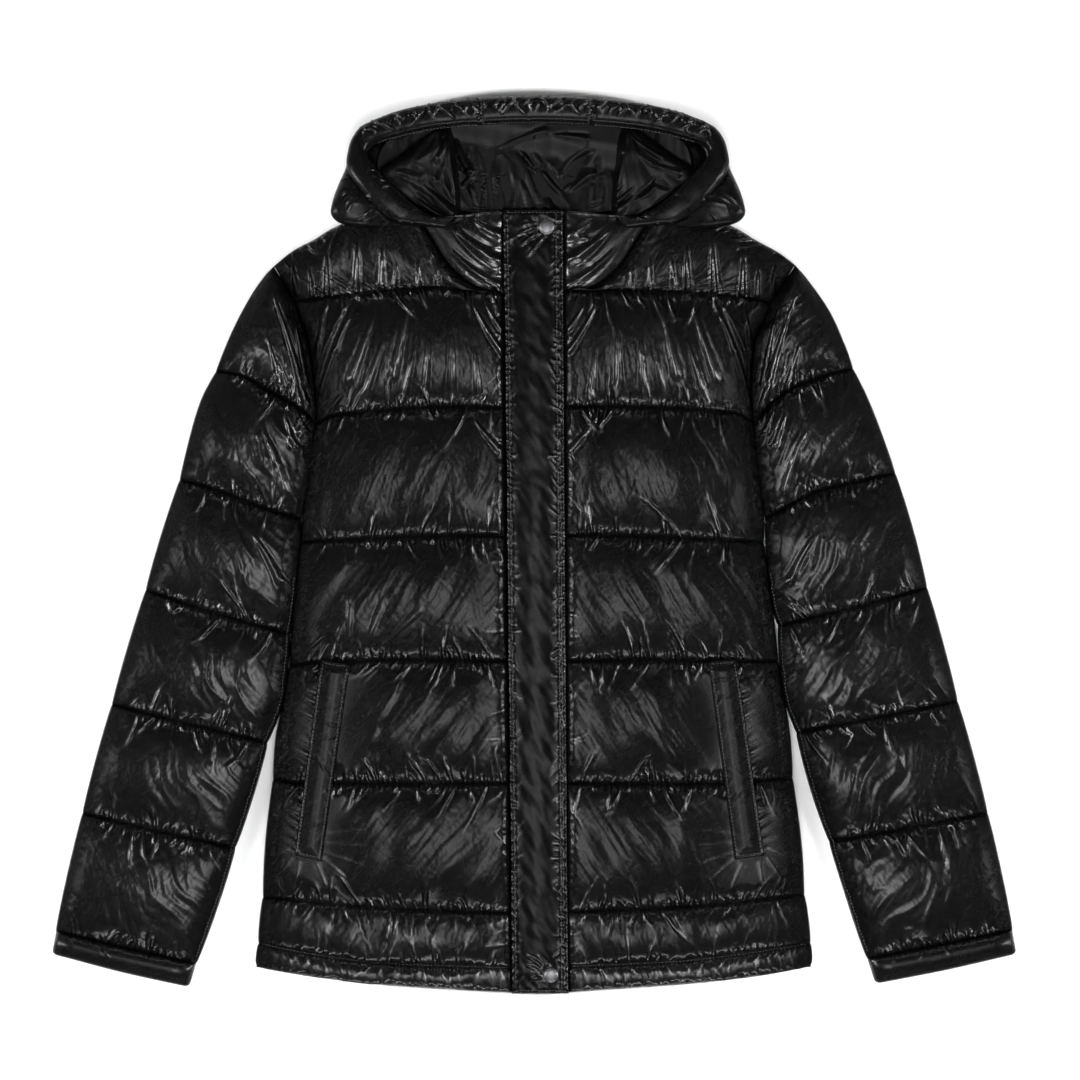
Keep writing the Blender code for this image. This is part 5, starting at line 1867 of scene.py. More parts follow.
    def bulge(self, quilt: Quilt, cloth: np.ndarray, outer: np.ndarray) -> None:
        """Lets the rows below the armhole swell beyond the side edge.

        Args:
            quilt: The sheet.
            cloth: Its points, which are moved.
            outer: Distance of each point to the side edge, in metres.
        """
        swell = 1.6 * MM * quilt.lens() * (1 - smooth(outer / 0.02))
        swell[: quilt.seams[UNDERARM_LINE]] = 0.0
        last = slice(quilt.seams[HEM_STITCH_LINE], None)
        corner = 1 - quarter_round(1 - quilt.row_share()[last, None], 0.35)
        swell[last] -= 3.0 * MM * corner * (1 - smooth(outer[last] / 0.01))
        cloth[..., 0] += self.side.sign * swell


@dataclass
class Back:
    """The back and its hem band, flat where they rest on the ground."""

    wardrobe: Wardrobe
    columns: int = 90
    cell: float = 4.0

    def line(self, index: int) -> np.ndarray:
        """One quilting line from side seam to side seam.

        Args:
            index: The number of the line.

        Returns:
            Its points, in millimetres.
        """
        right = placed(Side.RIGHT, FRONT_LINES[Side.RIGHT][index])
        left = placed(Side.LEFT, FRONT_LINES[Side.LEFT][index])[::-1]
        middle = np.array(BACK_NECK) + SHIFT if index == 0 else np.zeros((0, 2))
        return np.vstack((right, middle, left))

    def build(self) -> None:
        """Makes both pieces."""
        rows = []
        for row in range(HEM_LINES[-1]):
            near, far = (
                Curve(placed(side, (lines[row][0], *SIDE_EDGES[side][row], lines[row + 1][0])))
                for side, lines in FRONT_LINES.items()
            )
            rows.append((Curve(self.line(row)), Curve(self.line(row + 1)), near, far))
        quilt = Quilt.between(rows, np.linspace(0, 1, self.columns), self.cell)
        puff = quilt.lens() * quarter_round(quilt.edge_distance(), 0.024)
        gathers = Gathers(90, 11.0, (10.0, 40.0), (2.5, 4.5), 1.0).height(quilt)
        height = resting(puff) - 0.8 * MM * gathers * quilt.fade(0.006)
        grid = raised(quilt.plan, np.clip(height, 0.0, MM * (BACK_TOP - 1)))
        for node, lines in (("back_panel", BODY_LINES), ("hem_band_back", HEM_LINES)):
            piece = sewn_piece(f"{node}_body", quilt, grid, quilt.marks(), BACK_TOP, lines)
            piece.dress(self.wardrobe.shell, "shell", [node]).stuffed(0.5)


@dataclass
class Sleeve:
    """One sleeve, a quilted tube that lies flat."""

    side: Side
    wardrobe: Wardrobe
    stitching: Stitching
    folds: Sequence[Fold]
    cell: float = 3.2
    columns: int = 33
    puffs: Sequence[float] = (13.0, 14.0, 14.0, 14.0, 14.0, 14.0)
    under_step: int = 8

    def rows(self) -> list[tuple[Curve, ...]]:
        """The edge curves of the six rows."""
        lines = SLEEVE_LINES[self.side]
        body = FRONT_LINES[self.side]
        edges = SIDE_EDGES[self.side]
        inner = [
            (body[0][0], body[1][0], *edges[1], body[2][0]),
            (body[2][0], edges[2][0], (edges[2][1][0] + 1.0, edges[2][1][1]), lines[2][-1]),
        ]
        for row in range(2, 6):
            inner.append((lines[row][-1], *INNER_EDGES[self.side][row], lines[row + 1][-1]))
        found = []
        for row, far in enumerate(inner):
            near = (lines[row][0], *OUTER_EDGES[self.side][row], lines[row + 1][0])
            found.append(edged(self.side, lines[row], lines[row + 1], near, far))
        return found

    def build(self) -> None:
        """Settles the upper layer and makes the tube."""
        quilt = Quilt.between(self.rows(), np.linspace(0, 1, self.columns), self.cell)
        sewn = quilt.sewn()
        narrow = np.flatnonzero(quilt.along()[:, -1] < 0.035)
        smooth_start = Padding(uneven=0.0).first_heights(quilt, sewn)
        sewn[narrow] = smooth_start[narrow]
        cloth = Padding(wider=0.035, longer=0.035, seed=11 + self.side.seed).settle(quilt, sewn)
        fine = quilt.fine()
        unit = sided(fine, quilt.finer(evened(quilt, cloth[..., 2])), 0.03, 0.026, 0.026)
        plan = quilt.finer(cloth[..., :2])
        gathers = self.gathers(fine)
        across = fine.along() / fine.along()[:, -1:]
        outer = self.side.choose(across, 1 - across)
        inner_half = smooth((outer - 0.2) / 0.3)
        waves = 0.25 + 0.75 * inner_half
        height = puffed(fine, unit, self.puffs, gathers, SLEEVE_SLANT * self.side.sign, waves)
        height *= domed(outer, 0.62, 0.5, 0.35)
        folded = sum(fold.height(plan) for fold in self.folds) * fine.fade(FOLD_FADE)
        height += folded
        edge = fine.edge_distance()
        height += seam_level(edge, 0.014)
        cloth = raised(plan, height)
        self.bulge(fine, cloth)
        creased = np.abs(gathers) + 0.7 * np.abs(folded) / MM + 0.17 * inner_half
        rings, marks = self.tube(fine, cloth, fine.marks(creased, smooth((edge - 0.003) / 0.026)))
        piece = Piece.ringed(f"sleeve_{self.side.word}", rings, marks)
        nodes = [f"sleeve_top_{self.side.word}", f"sleeve_under_{self.side.word}"]
        piece.creased(rings.shape[1], fine.seams).dress(self.wardrobe.shell, "shell", nodes).stuffed()
        self.stitch(fine, cloth)

    def gathers(self, quilt: Quilt) -> np.ndarray:
        """How far the folds at the seams stand out.

        Args:
            quilt: The sheet.

        Returns:
            The heights, in millimetres.
        """
        found = seam_gathers(quilt, self.side.choose(120, 160))
        return found * smooth(quilt.outer_distance(self.side) / 0.02)

    def bulge(self, quilt: Quilt, cloth: np.ndarray) -> None:
        """Lets the rows swell beyond the outer edge, and below the underarm beyond the inner one.

        Args:
            quilt: The sheet.
            cloth: Its points, which are moved.
        """
        right = self.side is Side.RIGHT
        for near, reach, first in ((right, 1.8, 0), (not right, 2.4, 1)):
            away = quilt.edge_distance(near=near, far=not near)
            swell = reach * MM * quilt.lens() * (1 - smooth(away / 0.02))
            swell[: quilt.seams[first]] = 0.0
            cloth[..., 0] += (-1 if near else 1) * swell

    def tube(self, quilt: Quilt, cloth: np.ndarray, marks: np.ndarray) -> tuple[np.ndarray, np.ndarray]:
        """Joins the upper layer with one that rests on the ground.

        Args:
            quilt: The sheet of the upper layer.
            cloth: Its points.
            marks: Its seam marks.

        Returns:
            The rings of the tube and their seam marks.
        """
        edge = quilt.edge_distance()
        puff = quilt.lens() * quarter_round(edge, 0.026)
        wall = (SIDE_SEAM_HEIGHT - UNDER_SEAM_HEIGHT) * MM * (1 - quarter_round(edge, 0.006))
        under = cloth.copy()
        under[..., 2] = np.minimum(resting(puff) + wall, MM * SIDE_SEAM_HEIGHT)
        back = slice(-1 - self.under_step, 0, -self.under_step)
        rings = np.concatenate((cloth, under[:, back]), axis=1)
        return rings, np.concatenate((marks, marks[:, back]), axis=1)

    def stitch(self, quilt: Quilt, cloth: np.ndarray) -> None:
        """Stitches beside the underarm edge.

        Args:
            quilt: The sheet.
            cloth: Its points.
        """
        start = sum(quilt.seams[UNDERARM_LINE : UNDERARM_LINE + 2]) // 2
        path = cloth[start : quilt.seams[-1] - 2, self.side.choose(-4, 3)]
        self.stitching.run(path, 0.0004)


@dataclass
class Cuff:
    """The turned band at the end of a sleeve, an open tube."""

    side: Side
    wardrobe: Wardrobe
    columns: int = 90
    cell: float = 1.1
    puff: float = 8.0
    depth: float = 16.0

    def build(self) -> None:
        """Makes the band with its mouth and its turned-in inside."""
        top, foot = SLEEVE_LINES[self.side][-2:]
        row = edged(self.side, top, foot, (top[0], foot[0]), (top[-1], foot[-1]))
        quilt = Quilt.between([row], np.linspace(0, 1, self.columns), self.cell)
        share = quilt.row_share()[:, None]
        turned = quarter_round(1 - share, 0.3)
        lens = np.maximum(quilt.lens(), 0.75 * (share > 0.5) * turned)
        lens = lens * quarter_round(quilt.edge_distance(), 0.02)
        height = MM * self.puff * lens
        seed = 200 + self.side.seed
        gathers = Gathers(seed, 4.8, (4.0, 13.0), (1.2, 2.2), 1.5, 0.6, 0.15, 1.3).height(quilt)
        height += MM * gathers * quilt.fade(0.002)
        middle = MM * 0.5 * (BACK_TOP + FRONT_LOW)
        wall = MM * 3.0 * quarter_round(quilt.edge_distance(), 0.005)
        centre = quilt.plan.mean(axis=1, keepdims=True)
        inset = 0.05 * (1 - quarter_round(1 - share, 0.2))[..., None]
        plan = quilt.plan + inset * (centre - quilt.plan)
        upper = raised(plan, middle + wall + height)
        lower = upper.copy()
        lower[..., 2] = np.minimum(middle - wall, np.where(wall < 1e-6, middle, resting(lens)))
        under = slice(-4, 0, -3)
        rings = np.concatenate((upper, lower[:, under]), axis=1)
        marks = quilt.marks(np.abs(gathers), 1.0 - 0.95 * smooth((share - 0.42) / 0.3))
        marks = np.concatenate((marks, marks[:, under]), axis=1)
        mouth = self.mouth(upper, under, middle)
        rings = np.concatenate((rings, mouth))
        marks = np.concatenate((marks, np.repeat(marks[-1:], len(mouth), axis=0)))
        piece = Piece.ringed(f"cuff_{self.side.word}", rings, marks)
        piece.dress(self.wardrobe.shell, "shell", [f"cuff_band_{self.side.word}"]).stuffed(0.5)

    def mouth(self, upper: np.ndarray, under: slice, middle: float) -> np.ndarray:
        """Rings that turn in at the open end and run back inside the sleeve.

        Args:
            upper: The points of the band's upper side.
            under: The columns that its lower side has.
            middle: The height of the opening's middle, in metres.

        Returns:
            The rings.
        """
        centre = upper[-1, :, :2].mean(axis=0)
        back = upper[0, :, :2].mean(axis=0) - centre
        back *= MM * self.depth / np.linalg.norm(back)
        found = []
        for inside, gap in ((0.0, 0.0022), (1.0, 0.0018)):
            top = upper[-1].copy()
            top[:, :2] = centre + 0.955 * (top[:, :2] - centre) + inside * back
            corner = np.minimum(np.arange(len(top)), np.arange(len(top))[::-1])
            spread = gap * quarter_round(corner * MM, 0.008)
            foot = top.copy()
            top[:, 2] = middle + spread
            foot[:, 2] = middle - spread
            found.append(np.concatenate((top, foot[under])))
        return np.array(found)


@dataclass
class Flap:
    """The padded flap over the front fastening, with its stitch lines."""

    wardrobe: Wardrobe
    stitching: Stitching
    columns: int = 41
    cell: float = 1.5
    low: float = 17.6
    top: float = 21.9

    def build(self) -> None:
        """Makes the flap and its stitches."""
        near, far = (Curve(placed(side, zip(FLAP_OUT[side], FLAP_UP))) for side in Side)
        across = [Curve((near.at(end), far.at(end))) for end in (0.0, 1.0)]
        quilt = Quilt.between([(*across, near, far)], np.linspace(0, 1, self.columns), self.cell)
        along = quilt.along()
        width = along[:, -1:]
        away = {
            name: (along if name == "sewn" else width - along) - inset
            for name, (inset, _) in FLAP_STITCHES.items()
        }
        down = quilt.down()
        ends = np.minimum(down, down[-1] - down)
        arcs = self.arcs(quilt, away)
        folded = sum(fold.height(quilt.plan) for fold in FLAP_FOLDS)
        arcs += folded * np.clip(quilt.edge_distance() / 0.005, 0, 1)
        height = self.profile(quilt, away, ends) + (arcs + self.crumple(quilt, away, ends))
        for place, radius in SNAPS.values():
            reach = np.linalg.norm(quilt.plan / MM - SHIFT - place, axis=2) - radius
            pressed = (1 - smooth((reach - 0.8) / 5.0)) * (height > MM * SNAP_SEAT)
            height += pressed * (MM * SNAP_SEAT - height)
        grid = raised(quilt.plan, height)
        piece = Piece.backed("placket", grid, MM * self.low, quilt.marks(2.4 * np.abs(arcs) / MM))
        piece.dress(self.wardrobe.flap, "shell", ["placket_flap"]).stuffed(0.25)
        for name in away:
            column = np.abs(away[name]).argmin(axis=1)
            self.stitching.run(grid[np.arange(len(grid)), column][2:-2], 0.0002)
        for row in (2, -3):
            self.stitching.run(grid[row, 2:-2], 0.0002)

    def profile(self, quilt: Quilt, away: dict[str, np.ndarray], ends: np.ndarray) -> np.ndarray:
        """The flap without its wrinkles: a soft belly between sunken stitch lines.

        Args:
            quilt: The sheet.
            away: Distance of each point to the stitch lines, in metres, by their names.
            ends: Distance of each point to the nearer end of the flap, in metres.

        Returns:
            Its heights, in metres.
        """
        lift = 0.55 + 0.45 * quarter_round(quilt.edge_distance(), 0.002)
        lift *= 0.6 + 0.4 * quarter_round(ends, 0.003)
        height = MM * (self.low + (self.top - self.low) * lift)
        belly = np.clip(np.minimum(away["sewn"], away["inner"]) / 0.02, 0, 1)
        height += MM * (1.2 * smooth(belly) - 0.3)
        for name, (_, depth) in FLAP_STITCHES.items():
            height -= MM * depth * np.exp(-((away[name] / 0.0009) ** 2))
        for offset in (0.0022, 0.0035):
            height -= MM * 0.35 * np.exp(-(((ends - offset) / 0.0007) ** 2))
        return height

    def arcs(self, quilt: Quilt, away: dict[str, np.ndarray]) -> np.ndarray:
        """Short arcs that run out of the stitch lines.

        Args:
            quilt: The sheet.
            away: Distance of each point to the stitch lines, in metres, by their names.

        Returns:
            Their heights, in metres.
        """
        columns = [int(np.abs(away[name]).argmin(axis=1).mean()) for name in ("sewn", "inner")]
        turned = quilt.turned([0, *columns, quilt.shape[1] - 1])
        long = Gathers(301, 4.6, (3.0, 10.0), (0.9, 1.8), 1.4, 0.9, 0.9, 0.55).height(turned).T
        short = Gathers(302, 3.4, (2.0, 4.5), (0.7, 1.0), 0.9, 0.3, 0.8, 0.6).height(turned).T
        return MM * (1.2 * long + short)

    def crumple(self, quilt: Quilt, away: dict[str, np.ndarray], ends: np.ndarray) -> np.ndarray:
        """The soft crumple between the stitch lines, livelier round the snaps.

        Args:
            quilt: The sheet.
            away: Distance of each point to the stitch lines, in metres, by their names.
            ends: Distance of each point to the nearer end of the flap, in metres.

        Returns:
            Its heights, in metres.
        """
        grain = Grain(303)
        x, y = quilt.plan[..., 0], quilt.plan[..., 1]
        x, y = x + 0.6 * y, y - 0.6 * x
        height = 0.0004 * grain.layered(x / 0.015, y / 0.03, 2)
        height += 0.0009 * (1 - np.clip(ends / 0.05, 0, 1)) * grain.at(x / 0.008, y / 0.016)
        return height * smooth(np.minimum(away["sewn"], away["inner"]) / 0.008)


@dataclass
class Welt:
    """A pocket welt, a narrow strip sewn on the front."""

    side: Side
    wardrobe: Wardrobe
    stitching: Stitching
    columns: int = 22
    cell: float = 1.4
    low: float = 24.2
    wall: float = 3.2
    foot: float = 21.5

    def build(self) -> None:
        """Makes the strip and its stitches."""
        corners = placed(self.side, WELT_CORNERS[self.side])
        a, b, c, d = self.side.choose(corners, corners[[1, 0, 3, 2]])
        rows = [(Curve((a, b)), Curve((d, c)), Curve((a, d)), Curve((b, c)))]
        quilt = Quilt.between(rows, np.linspace(0, 1, self.columns), self.cell)
        edge = np.minimum(quilt.edge_distance(), quilt.seam_distance())
        height = MM * (self.low + self.wall * (0.35 + 0.65 * quarter_round(edge, 0.0024)))
        height -= MM * 0.4 * np.exp(-(((edge - 0.0030) / 0.0008) ** 2))
        height += MM * 0.8 * smooth((edge - 0.003) / 0.008)
        sides = quilt.turned([0, quilt.shape[1] - 1])
        seed = 330 + self.side.seed
        wrinkles = Gathers(seed, 6.0, (5.0, 20.0), (1.1, 2.6), 0.8, 0.9, 0.9, 0.9).height(sides).T
        wrinkles += Gathers(seed + 1, 3.6, (2.0, 5.0), (0.8, 1.2), 0.4, 0.5).height(sides).T
        height += MM * wrinkles * smooth(edge / 0.003)
        share = quilt.row_share()[:, None]
        height -= MM * 2.0 * (1 - smooth(share / 0.06))
        grid = raised(quilt.plan, height)
        piece = Piece.backed(f"welt_{self.side.word}", grid, MM * self.foot, quilt.marks(0.0, 0.7))
        piece.dress(self.wardrobe.shell, "shell", [f"pocket_welt_{self.side.word}"]).stuffed(0.2)
        inside = grid[2:-2, 2:-2]
        for path in (inside[:, 0], inside[:, -1], inside[0], inside[-1]):
            self.stitching.run(path, 0.0003)


@dataclass
class Collar:
    """One half of the collar between the hood, the neck seam and the flap."""

    side: Side
    wardrobe: Wardrobe
    folds: Sequence[Fold]
    columns: int = 80
    cell: float = 1.3
    puff: float = 7.0

    def build(self) -> None:
        """Makes the half and the strip that carries it on under the flap."""
        neck = (FRONT_LINES[self.side][0][-1], *NECK_EDGE, FRONT_LINES[self.side][1][-1])
        near, far = ((COLLAR_TOP[end], neck[end]) for end in (0, -1))
        row = edged(self.side, COLLAR_TOP, neck, near, far)
        quilt = Quilt.between([row], np.linspace(0, 1, self.columns), self.cell)
        share = quilt.row_share()[:, None]
        along = quilt.along() / quilt.along()[:, -1:]
        inner = self.side.choose(1 - along, along)
        rise = quarter_round(inner, 0.2) * quarter_round(1 - inner, 0.25)
        height = MM * self.puff * np.maximum(quilt.lens(), 0.55 * (1 - share)) * rise
        sides = quilt.turned([0, quilt.shape[1] - 1])
        fan = self.side.choose((1.0, 0.2), (0.2, 1.0))
        seed = 360 + self.side.seed
        wrinkles = Gathers(seed, 5.0, (12.0, 46.0), (1.2, 3.2), 1.3, 0.5, *fan).height(sides).T
        wrinkles += Gathers(seed + 1, 7.0, (6.0, 24.0), (1.2, 2.6), 1.0, 0.5).height(quilt)
        height += MM * wrinkles * quilt.fade(0.002)
        for fold in self.folds:
            height += fold.height(quilt.plan) * quilt.fade(0.003)
        grid = raised(quilt.plan, height + MM * SEAM_HEIGHT)
        marks = quilt.marks(0.12 + 0.75 * (1 - smooth(inner / 0.55)))
        grid, marks = tucked(self.side, grid, marks)
        piece = Piece.backed(f"collar_{self.side.word}", grid, MM * FRONT_LOW, marks)
        piece.dress(self.wardrobe.shell, "shell", [f"collar_stand_{self.side.word}"]).stuffed(0.5)


@dataclass(frozen=True)
class Pucker:
    """Gathers along one line of a roll, over a part of its length."""

    line: float
    gathers: Gathers
    start: float = -1.0
    stop: float = 2.0

    def height(self, plan: np.ndarray) -> np.ndarray:
        """How far the cloth stands out on the upper side of a roll.

        Args:
            plan: The points of that side, unrolled.

        Returns:
            The heights, in metres.
        """
        rows = len(plan) - 1
        share = np.linspace(0, 1, plan.shape[1])
        window = smooth((share - self.start) / 0.04) * smooth((self.stop - share) / 0.04)
        return MM * window * self.gathers.height(Quilt(plan, [round(self.line * rows)]))


@dataclass
class Roll:
    """A padded roll or panel of the hood through oval sections."""

    name: str
    nodes: Sequence[str]
    sections: np.ndarray
    wardrobe: Wardrobe
    puckers: Sequence[Pucker]
    seed: int
    over: int = 48
    under: int = 10
    step: float = 1.1
    lean: float = 0.7
    blunt: float = 0.7
    ends: Sequence[int] = ()
    piping: float = 0.0
    dim: float = -1.0

    def rings(self) -> np.ndarray:
        """Oval rings through the sections, closely set, with their points dense on the upper side."""
        count = max(8, round(Curve(self.sections[:, :2]).length / self.step))
        stations = Curve(self.sections).at(np.linspace(0, 1, count))
        upper, lower = (np.arange(count) / count for count in (self.over, self.under))
        turn = np.concatenate((upper, 1 + lower)) * math.pi
        aside = np.cos(turn)
        share = (0.5 - 0.5 * np.sign(aside) * np.abs(aside) ** self.blunt)[None, :, None]
        lift = np.sin(turn)
        lift = (np.sign(lift) * np.abs(lift) ** self.lean)[None]
        start, end = stations[:, None, :2], stations[:, None, 2:4]
        low, crown = stations[:, None, 4], stations[:, None, 5]
        middle = 0.5 * (low + crown)
        height = middle + (crown - middle) * lift
        plan = (1 - share) * start + share * end
        return MM * raised(plan, height)

    def build(self) -> np.ndarray:
        """Makes the roll with its wrinkles.

        Returns:
            Its rings.
        """
        rings = self.rings()
        closed = np.concatenate((rings, rings[:, :1]), axis=1)
        run = Curve(rings.mean(axis=1), rounded=False).marks
        steps = np.linalg.norm(np.diff(closed, axis=1), axis=2)
        girth = np.concatenate((np.zeros((len(rings), 1)), np.cumsum(steps, axis=1)), axis=1)
        plan = np.stack((np.broadcast_to(run[:, None], girth.shape), girth), -1).swapaxes(0, 1)
        upper = plan[: self.over + 1]
        height = sum(pucker.height(upper) for pucker in self.puckers)
        across = upper[..., 1] / upper[-1:, :, 1]
        waves = Grain(self.seed).at(upper[..., 0] / 0.012, upper[..., 1] / 0.03)
        height += MM * self.piping * np.exp(-(((0.86 - across) * upper[-1:, :, 1]) ** 2) / 0.0009**2)
        for end in self.ends:
            away = np.abs(upper[..., 0] - upper[:, end][:, None, 0])
            knots = Gathers(self.seed + end, 3.6, (3.0, 9.0), (0.8, 1.4), 1.3, 0.5, 1.0, 1.0)
            height += MM * knots.height(Quilt(upper.swapaxes(0, 1), [end % len(rings)])).T
            height -= 1.2 * MM * np.exp(-away / 0.0012)
        faded = smooth(np.minimum(across, 1 - across) / 0.08)
        height = height * faded
        creased = np.zeros(plan.shape[:2])
        creased[: self.over + 1] = np.clip(1.2 * np.abs(height) / MM - 0.15, 0, 1)
        height += 0.25 * MM * waves * faded
        normals = normals_of(closed)[:, :-1]
        outward = np.sign(np.sum(normals * (rings - rings.mean(axis=1, keepdims=True)), axis=(1, 2)).sum())
        rings[:, : self.over] += outward * normals[:, : self.over] * height[:-1].T[..., None]
        rings[..., 2] = np.maximum(rings[..., 2], 0.0003)
        shown = np.full(plan.shape[:2], 0.05)
        shown[: self.over + 1] += 0.95 * smooth((across - 0.05) / 0.3) * smooth((run[None] - self.dim) / 0.03)
        marks = Quilt(plan, [0, self.over, self.over + self.under]).marks(creased, shown)[:-1].swapaxes(0, 1)
        Piece.ringed(self.name, rings, marks).dress(self.wardrobe.shell, "shell", self.nodes).stuffed()
        return rings


def mirrored(rows: Sequence[Sequence[float]], side: Side) -> np.ndarray:
    """Sections of the hood on one side.

    Args:
        rows: For each section both its ends as out and up, and its lowest and highest height.
        side: The side.

    Returns:
        The same with both ends in the plan of the frame.
    """
    sign = side.sign * side.choose(1.0, LEFT_HOOD_SPREAD)
    found = []
    for first_out, first_up, second_out, second_up, low, crown in rows:
        start = (sign * first_out + SHIFT[0], first_up + SHIFT[1])
        end = (sign * second_out + SHIFT[0], second_up + SHIFT[1])
        found.append((*start, *end, low, crown))
    return np.array(found)


@dataclass
class Hood:
    """The rim, the side panels, the back and the lining of the hood."""

    wardrobe: Wardrobe
    stitching: Stitching
    stitch_column: int = 42
    around: int = 180
    back_grid: tuple[int, int] = (64, 221)
    side_grid: tuple[int, int] = (104, 56)
    drop_rows: int = 12

    def build(self) -> None:
        """Makes all of its pieces."""
        for side in Side:
            self.rim(side)
            self.side_panel(side)
            self.side_lining(side)
        self.rim_centre()
        self.back_panel()
        self.back_lining()

    def rim(self, side: Side) -> None:
        """Makes one long length of the rim: smooth in front, gathered over the crown.

        Args:
            side: Its side.
        """
        seed = 410 + 10 * side.seed
        puckers = [
            Pucker(0.80, Gathers(seed, 5.0, (3.0, 8.0), (1.2, 1.9), 1.6, 0.4, 1.0, 0.4), 0.04, 0.42),
            Pucker(0.16, Gathers(seed + 1, 5.0, (2.5, 7.0), (1.2, 1.8), 1.0, 0.6, 0.5, 1.0), 0.02, 0.40),
            Pucker(0.42, Gathers(seed + 2, 6.5, (5.0, 10.0), (1.3, 2.2), 2.3, 0.8, 1.0, 1.0, True), 0.54),
            Pucker(0.95, Gathers(seed + 3, 5.0, (3.0, 9.0), (0.9, 2.0), 1.0, 0.5, 1.0, 0.0), 0.55),
            Pucker(0.05, Gathers(seed + 4, 6.0, (3.0, 9.0), (1.0, 2.2), 0.8, 0.5, 0.0, 1.0), 0.55),
        ]
        name, node = f"hood_rim_roll_{side.word}", f"hood_rim_{side.word}"
        roll = Roll(name, [node], mirrored(RIM, side), self.wardrobe, puckers, seed, ends=(-1,), piping=0.9)
        rings = roll.build()
        self.edge_stitch(rings, round(0.58 * len(rings)), len(rings) - 2)

    def edge_stitch(self, rings: np.ndarray, start: int, stop: int) -> None:
        """Stitches beside the inner edge of the rim."""
        self.stitching.run(rings[start:stop, self.stitch_column], 0.0004)

    def rim_centre(self) -> None:
        """Makes the short length of the rim over the crown."""
        sections = np.vstack((mirrored(RIM_CENTRE, Side.RIGHT), mirrored(RIM_CENTRE[-2::-1], Side.LEFT)))
        puckers = [
            Pucker(0.42, Gathers(431, 6.8, (5.0, 10.0), (1.4, 2.3), 2.6, 0.9, 1.0, 1.0, True)),
            Pucker(0.95, Gathers(432, 5.0, (3.0, 9.0), (0.9, 2.0), 1.0, 0.5, 1.0, 0.0)),
            Pucker(0.05, Gathers(433, 6.0, (3.0, 9.0), (1.0, 2.2), 0.8, 0.5, 0.0, 1.0)),
        ]
        name, nodes = "hood_rim_crown", ["hood_rim_centre"]
        roll = Roll(name, nodes, sections, self.wardrobe, puckers, 430, ends=(0, -1))
        rings = roll.build()
        self.edge_stitch(rings, 2, len(rings) - 2)
        for spot in (2, len(rings) - 3):
            self.stitching.run(rings[spot, 4:44], 0.0004)

    def side_panel(self, side: Side) -> None:
        """Makes the padded panel beside the rim.

        Args:
            side: Its side.
        """
        rows = [(*row[2:4], *row[:2], *row[4:]) for row in HOOD_SIDE]
        seed = 470 + 10 * side.seed
        puckers = [
            Pucker(0.84, Gathers(seed, 5.0, (2.5, 9.0), (1.2, 2.0), 1.4, 0.6, 1.0, 0.3)),
            Pucker(0.50, Gathers(seed + 1, 9.0, (8.0, 18.0), (1.4, 2.8), 0.8, 0.8, 1.0, 1.0)),
        ]
        name, node = f"hood_side_panel_{side.word}", f"hood_side_{side.word}"
        Roll(name, [node], mirrored(rows, side), self.wardrobe, puckers, seed, dim=0.012).build()

    def outline(self, inset: float) -> Curve:
        """The edge of the hood's back, drawn in towards its middle.

        Args:
            inset: Its size as a share of the whole.

        Returns:
            The closed line, in millimetres.
        """
        left = np.array(HOOD_BACK_OUTLINE)
        right = left[-2:0:-1] * (-1.0, 1.0)
        middle = np.array((0.0, LINING_CENTRE_UP))
        ring = np.vstack((left, right, left[:1]))
        return Curve(inset * (ring - middle) + middle + SHIFT)

    def back_panel(self) -> None:
        """Makes the padded back of the hood, which lies flat on the ground."""
        outline = self.outline(1.0).at(np.linspace(0, 1, self.around + 1)[:-1])
        middle = np.array((0.0, LINING_CENTRE_UP)) + SHIFT
        share, height = np.array(HOOD_BACK_PROFILE).T[..., None]
        plan = share[..., None] * (outline - middle) + middle
        rings = MM * raised(plan, np.broadcast_to(height, plan.shape[:2]))
        piece = Piece.ringed("hood_back_panel", rings, plain_marks(rings.shape[:2]))
        piece.dress(self.wardrobe.shell, "shell", ["hood_back"]).stuffed(0.3)

    def back_lining(self) -> None:
        """Makes the lining behind the neck, with the folds that lie in it."""
        count, around = self.back_grid
        outline = MM * self.outline(LINING_INSET).at(np.linspace(0, 1, around))
        middle = MM * (np.array((0.0, LINING_CENTRE_UP)) + SHIFT)
        shares = np.linspace(0.97, 0.02, count)[:, None, None]
        plan = shares * (outline - middle)[None] + middle
        level = plan[..., 1] / MM + 0.19 * plan[..., 0] / MM
        height = MM * (8.6 + 4.5 * smooth((level - 350.0) / 26.0))
        beside = smooth((np.abs(plan[..., 0]) / MM - 72.0) / 10.0)
        grain = Grain(520)
        sway = plan[..., 0] + 0.004 * grain.at(plan[..., 0] / 0.03, plan[..., 1] / 0.02)
        inside = smooth((0.98 - shares[..., 0]) / 0.08)
        calm = inside * (0.15 + 0.85 * smooth((360.0 - level) / 16.0))
        height += 1.4 * MM * grain.at(sway / 0.011, plan[..., 1] / 0.045) * np.maximum(calm, 1.6 * beside)
        for fold in BACK_LINING_FOLDS:
            height += fold.height(plan) * inside
        height = np.maximum(height, MM * 8.3)
        grid = raised(plan, height)[:, ::-1]
        piece = Piece.shell("hood_back_lining", grid, LINING_WALL, plain_marks(grid.shape[:2]))
        piece.dress(self.wardrobe.lining, "lining", ["hood_lining_back"])

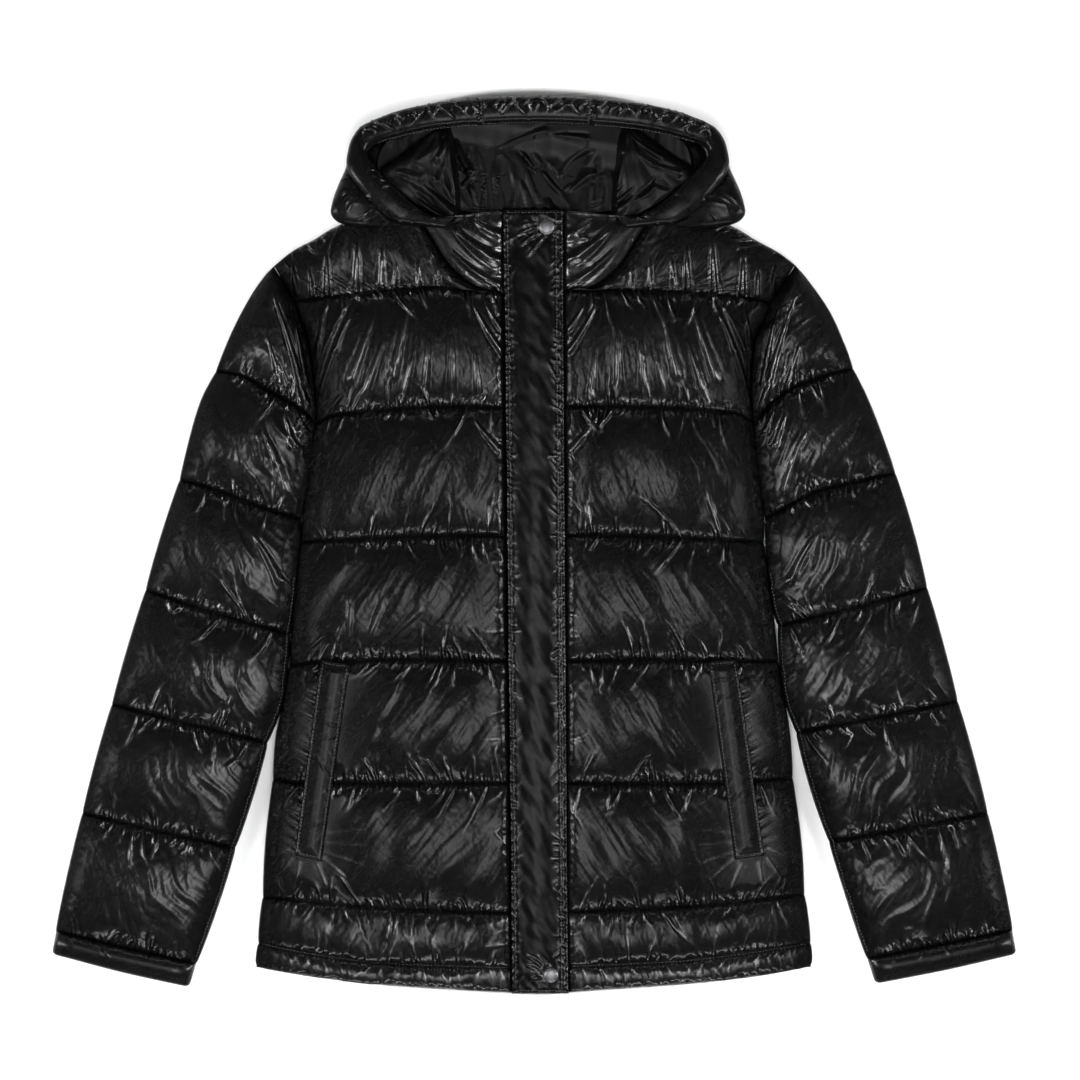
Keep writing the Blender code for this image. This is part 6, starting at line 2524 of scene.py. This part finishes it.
    def side_lining(self, side: Side) -> None:
        """Makes the lining of one side: from the rim over a standing fold, then down.

        Args:
            side: Its side.
        """
        sign = side.sign
        widened = (sign * side.choose(1.0, LEFT_HOOD_SPREAD), 1, 1)
        count, columns = self.side_grid
        stations = Curve(LINING_RIDGE).at(np.linspace(0, 1, count))
        rim = stations[:, :3] * widened + (*SHIFT, 0)
        ridge = stations[:, 3:] * widened + (*SHIFT, 0)
        foot = ridge - (sign * 4.5, 0, 0)
        foot[:, 2] = 9.4
        waist = 0.5 * (ridge + foot) - (sign * 1.2, 0, 0)
        across = np.linspace(0, 1, columns)[None, :, None]
        over = (1 - across) * rim[:, None] + across * ridge[:, None]
        rise = quarter_round(across[..., 0], 0.4)
        over[..., 2] = (1 - rise) * rim[:, None, 2] + rise * ridge[:, None, 2]
        over[..., 2] += 2.5 * np.sin(math.pi * across[..., 0])
        drop = np.linspace(0, 1, self.drop_rows)[1:]
        wall = np.stack([Curve(points).at(drop) for points in zip(ridge, waist, foot)])
        grid = MM * np.concatenate((over, wall), axis=1)
        height = sum(fold.height(grid[..., :2]) for fold in SIDE_LINING_FOLDS[side])
        offset = grid[..., :2] - MM * np.array((sign * 82.0, 384.0))
        bearing = np.arctan2(offset[..., 1], offset[..., 0])
        reach = np.linalg.norm(offset, axis=2)
        height += 1.3 * MM * Grain(530 + side.seed).at(bearing * 5.5, reach / 0.04)
        edge = np.concatenate((smooth(across[0, :, 0] / 0.1), np.zeros(len(drop))))
        grid[..., 2] += height * edge[None]
        grid = side.choose(grid, grid[:, ::-1])
        name = f"hood_side_lining_{side.word}"
        piece = Piece.shell(name, grid, LINING_WALL, plain_marks(grid.shape[:2]))
        piece.dress(self.wardrobe.lining, "lining", [f"hood_lining_{side.word}"])


@dataclass
class Snap:
    """A domed snap cap on the flap."""

    node: str
    place: tuple[float, float]
    radius: float
    wardrobe: Wardrobe
    floor: float = 22.4
    around: int = 48

    def build(self) -> None:
        """Makes the cap with its flange and its dome."""
        profile = [(0.96, 0.0), (1.0, 0.25), (1.0, 0.55), (0.93, 0.85), (0.88, 0.8)]
        for step in range(1, 9):
            angle = 0.5 * math.pi * step / 8.3
            profile.append((0.86 * math.cos(angle), 0.8 + 0.9 * math.sin(angle)))
        turn = 2 * math.pi * np.arange(self.around) / self.around
        circle = np.stack((np.cos(turn), np.sin(turn)), -1)
        rings = []
        for share, height in profile:
            plan = SHIFT + self.place + self.radius * share * circle
            rings.append(np.column_stack((plan, np.full(self.around, self.floor + height))))
        piece = Piece.ringed(f"{self.node}_cap", MM * np.array(rings))
        piece.dress(self.wardrobe.metal, "snap_metal", [self.node])


def main() -> None:
    """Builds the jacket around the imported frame."""
    logging.basicConfig(level=logging.INFO, format="%(message)s", stream=sys.stdout)
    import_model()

    wardrobe = Wardrobe()
    stitching = Stitching("stitches")
    Studio().build()
    Back(wardrobe).build()
    for side in Side:
        Front(side, wardrobe, stitching, FRONT_FOLDS[side]).build()
        Sleeve(side, wardrobe, stitching, SLEEVE_FOLDS[side]).build()
        Cuff(side, wardrobe).build()
        Welt(side, wardrobe, stitching).build()
        Collar(side, wardrobe, COLLAR_FOLDS[side]).build()
    Flap(wardrobe, stitching).build()
    Hood(wardrobe, stitching).build()
    for node, (place, radius) in SNAPS.items():
        Snap(node, place, radius, wardrobe).build()
    stitching.piece().dress(wardrobe.thread, "shell")


if __name__ == "__main__":
    main()
